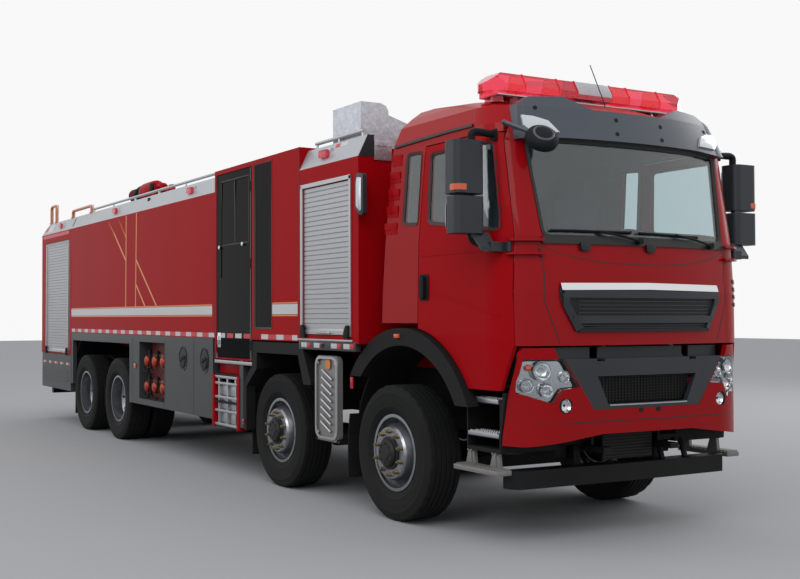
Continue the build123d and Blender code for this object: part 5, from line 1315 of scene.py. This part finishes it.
# Monitor: flanged foot, elbow, gear caps, dome, black nozzle with its hand ring
monitor = {"x": -8.15, "z": 3.5, "footZ": 2.966, "headZ": 3.312, "ringX": 0.83, "ringRadius": 0.118,
           "foot": ((0.165, 0.0), (0.165, 0.022), (0.155, 0.026), (0.08, 0.03), (0.079, 0.34)),
           "head": ((0.123, 0.0), (0.124, 0.014), (0.112, 0.02), (0.112, 0.034), (0.124, 0.04),
                    (0.123, 0.054), (0.074, 0.058)),
           "gearCap": ((0.06, 0.0), (0.07, 0.01), (0.07, 0.03), (0.05, 0.04), (0.0, 0.04)),
           "dome": ((0.0, 0.17), (0.05, 0.172), (0.1, 0.19), (0.131, 0.23), (0.143, 0.29), (0.1445, 0.4),
                    (0.1435, 0.55), (0.142, 0.64), (0.136, 0.66), (0.106, 0.745), (0.0, 0.75)),
           "nozzle": ((0.0, 0.745), (0.078, 0.746), (0.078, 0.9), (0.086, 0.905), (0.104, 0.935),
                      (0.104, 1.0), (0.098, 1.004), (0.098, 1.05), (0.104, 1.054), (0.104, 1.12),
                      (0.098, 1.124), (0.098, 1.16), (0.104, 1.164), (0.104, 1.222), (0.09, 1.223),
                      (0.085, 1.2), (0.0, 1.19))}
x, z = monitor["x"], monitor["z"]
bm = bmesh.new()
addTurned(bm, monitor["foot"], (x, 0, monitor["footZ"]), upward, 48)
for a, b in spotsAround(8, 0.13):
    addRod(bm, (x + a, b, 2.99), (x + a, b, 3.004), 0.012, 6)
finishPiece("monitorFoot", bm, enamelRed)
bm = bmesh.new()
addTurned(bm, monitor["head"], (x, 0, monitor["headZ"]), upward, 48)
elbow = ((x + 0.05, 3.345), (x + 0.2, 3.35), (x + 0.3, 3.44), (x + 0.42, 3.46))
addTube(bm, [(a, 0, b) for a, b in elbow], 0.045, 0.08, 16)
finishPiece("monitorElbow", bm, enamelRed, "monitor_head")
bm = bmesh.new()
for _, sign in sides:
    addTurned(bm, monitor["gearCap"], (x, sign * 0.15, z), sign * leftward)
finishPiece("monitorGearCaps", bm, mouldedBlack, "monitor_head")
bm = bmesh.new()
addTurned(bm, monitor["dome"], (x, 0, z), -forward, 56)
finishPiece("monitorDome", bm, enamelRed, "monitor_barrel")
bm = bmesh.new()
addTurned(bm, monitor["nozzle"], (x, 0, z), -forward, 48)
ringX, radius = x - monitor["ringX"], monitor["ringRadius"]
ring = spotsAround(24, radius)
addTube(bm, [(ringX, a, z + b) for a, b in ring + ring[:1]], 0.009, 0.01, 10)
for inner, outer in zip(spotsAround(4, 0.07, 0.5), spotsAround(4, radius, 0.5)):
    addRod(bm, (ringX, inner[0], z + inner[1]), (ringX, outer[0], z + outer[1]), 0.007, 8)
finishPiece("monitorNozzle", bm, mouldedBlack, "monitor_barrel")
print("monitor")

# Under the front: cooler face, underrun brackets; whip aerial and gutters of the cab
cooler = {"x": 1.299, "half": 0.238, "fins": 15, "lowZ": 0.572, "pitch": 0.022}
x, reach = cooler["x"], cooler["half"]
bm = bmesh.new()
for n in range(cooler["fins"]):
    z = cooler["lowZ"] + n * cooler["pitch"]
    addBlock(bm, (x, x + 0.007), (-reach, reach), (z, z + 0.012))
addBlock(bm, (x - 0.001, x + 0.013), (-reach - 0.001, reach + 0.001), (0.885, 0.915), 0.004)
finishPiece("coolerFins", bm, meshBlack)
bm = bmesh.new()
for y in (0.385, 0.62):
    addTube(bm, [(1.17, y, 0.72), (1.24, y, 0.6), (1.26, y, 0.525)], 0.022)
addRod(bm, (1.2, -0.6, 0.69), (1.2, 0.6, 0.69), 0.028, 20)
for ends in ((-0.56, -0.44), (0.44, 0.56)):
    addBlock(bm, (0.8, 1.16), ends, (0.56, 0.86), 0.01)
finishPiece("underrunStruts", bm, chassisBlack)
aerial = {"foot": Vector((1.13, -0.02, 3.03)), "bend": (1.112, -0.02, 3.16), "tip": (0.966, -0.02, 3.47)}
foot = aerial["foot"]
bm = bmesh.new()
addRod(bm, foot, foot + upward * 0.07, 0.011)
addTube(bm, [foot + upward * 0.065, aerial["bend"], aerial["tip"]], 0.0035, 0.02, 8)
finishPiece("aerial", bm, mouldedBlack, "cab")
bm = bmesh.new()
gutter = ((-0.03, 2.905), (0.3, 2.915), (0.7, 2.925), (0.97, 2.925))
layStrip(bm, cabSkin, alongY, gutter, 0.018, 0.012, 0.02, 0.06)
finishPiece("roofGutters", bm, sealRubber, "cab", both=True)
print("small fittings")

# Camera, worked out from the photograph, with the principal point as a small shift
view = {"place": (11.5515, -5.7740, 1.5765), "yaw": 151.8168, "pitch": 1.1656, "roll": -0.0967,
        "lens": 49.279, "shift": (0.11544, 0.00683), "farEnd": 200}
yaw, pitch, roll = (radians(view[key]) for key in ("yaw", "pitch", "roll"))
ahead = Vector((cos(yaw) * cos(pitch), sin(yaw) * cos(pitch), sin(pitch)))
right = Vector((sin(yaw), -cos(yaw), 0))
above = right.cross(ahead)
right, above = right * cos(roll) + above * sin(roll), above * cos(roll) - right * sin(roll)
camera = bpy.data.objects.new("camera", bpy.data.cameras.new("camera"))
camera.data.lens = view["lens"]
camera.data.sensor_width = 36
camera.data.shift_x, camera.data.shift_y = view["shift"]
camera.data.clip_end = view["farEnd"]
turn = Matrix((right, above, -ahead)).transposed()
camera.matrix_world = Matrix.Translation(view["place"]) @ turn.to_4x4()
bpy.context.scene.collection.objects.link(camera)
bpy.context.scene.camera = camera

# Floor of pale smooth concrete, matt with a fine unevenness
floorHalf = 60
bm = bmesh.new()
bm.faces.new([bm.verts.new((a - firstAxle, b, 0))
              for a, b in rectangle(-floorHalf, floorHalf, -floorHalf, floorHalf)])
mesh = bpy.data.meshes.new("floor")
bm.to_mesh(mesh)
bm.free()
mesh.materials.append(newMaterial("paleConcrete", {"Base Color": fromHex("#96989b"), "Roughness": 0.9,
                                                   "IOR": 1.2}, grain=(25, 0.1, 0.001)))
floor = bpy.data.objects.new("floor", mesh)
bpy.context.scene.collection.objects.link(floor)
floor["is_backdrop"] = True

# Sky: an even pale field for the eye, glass and mirrors; as light it fades towards the ground
sky = {"colour": "#fdfdfd", "seen": 0.96, "low": 0.28, "high": 1.05}
world = bpy.data.worlds.new("softSky")
bpy.context.scene.world = world
world.use_nodes = True
tree = world.node_tree
background = tree.nodes["Background"]
outward = addNode(tree, "ShaderNodeTexCoord")
split = addNode(tree, "ShaderNodeSeparateXYZ", {}, {"Vector": outward.outputs["Generated"]})
ramp = addNode(tree, "ShaderNodeMapRange", {}, {"Value": split.outputs["Z"], "From Min": -0.05,
                                                "From Max": 0.5, "To Min": sky["low"],
                                                "To Max": sky["high"]})
rays = addNode(tree, "ShaderNodeLightPath")
clear = addNode(tree, "ShaderNodeMath", {"operation": "MAXIMUM"},
                {0: rays.outputs["Is Camera Ray"], 1: rays.outputs["Is Transmission Ray"]})
shiny = addNode(tree, "ShaderNodeMath", {"operation": "MAXIMUM"},
                {0: clear.outputs["Value"], 1: rays.outputs["Is Glossy Ray"]})
pick = addNode(tree, "ShaderNodeMix", {"data_type": "FLOAT"},
               {0: shiny.outputs["Value"], 2: ramp.outputs["Result"], 3: sky["seen"]})
tree.links.new(pick.outputs[0], background.inputs["Strength"])
background.inputs["Color"].default_value = fromHex(sky["colour"])
lamps = (
    # name, place, size in metres, watts
    ("keyLamp", (13, -9, 11), 9, 750),
    ("sideLamp", (-4, -14, 9), 9, 450),
    ("farLamp", (2, 14, 9), 10, 600),
)
for name, spot, size, watts in lamps:
    lamp = bpy.data.objects.new(name, bpy.data.lights.new(name, "AREA"))
    lamp.data.size = size
    lamp.data.energy = watts
    lamp.location = spot
    lamp.rotation_euler = (upward * 1.2 - Vector(spot)).to_track_quat("-Z", "Y").to_euler()
    bpy.context.scene.collection.objects.link(lamp)
bpy.context.scene.view_settings.view_transform = "Standard"
print("camera, floor and lamps")

low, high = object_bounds()
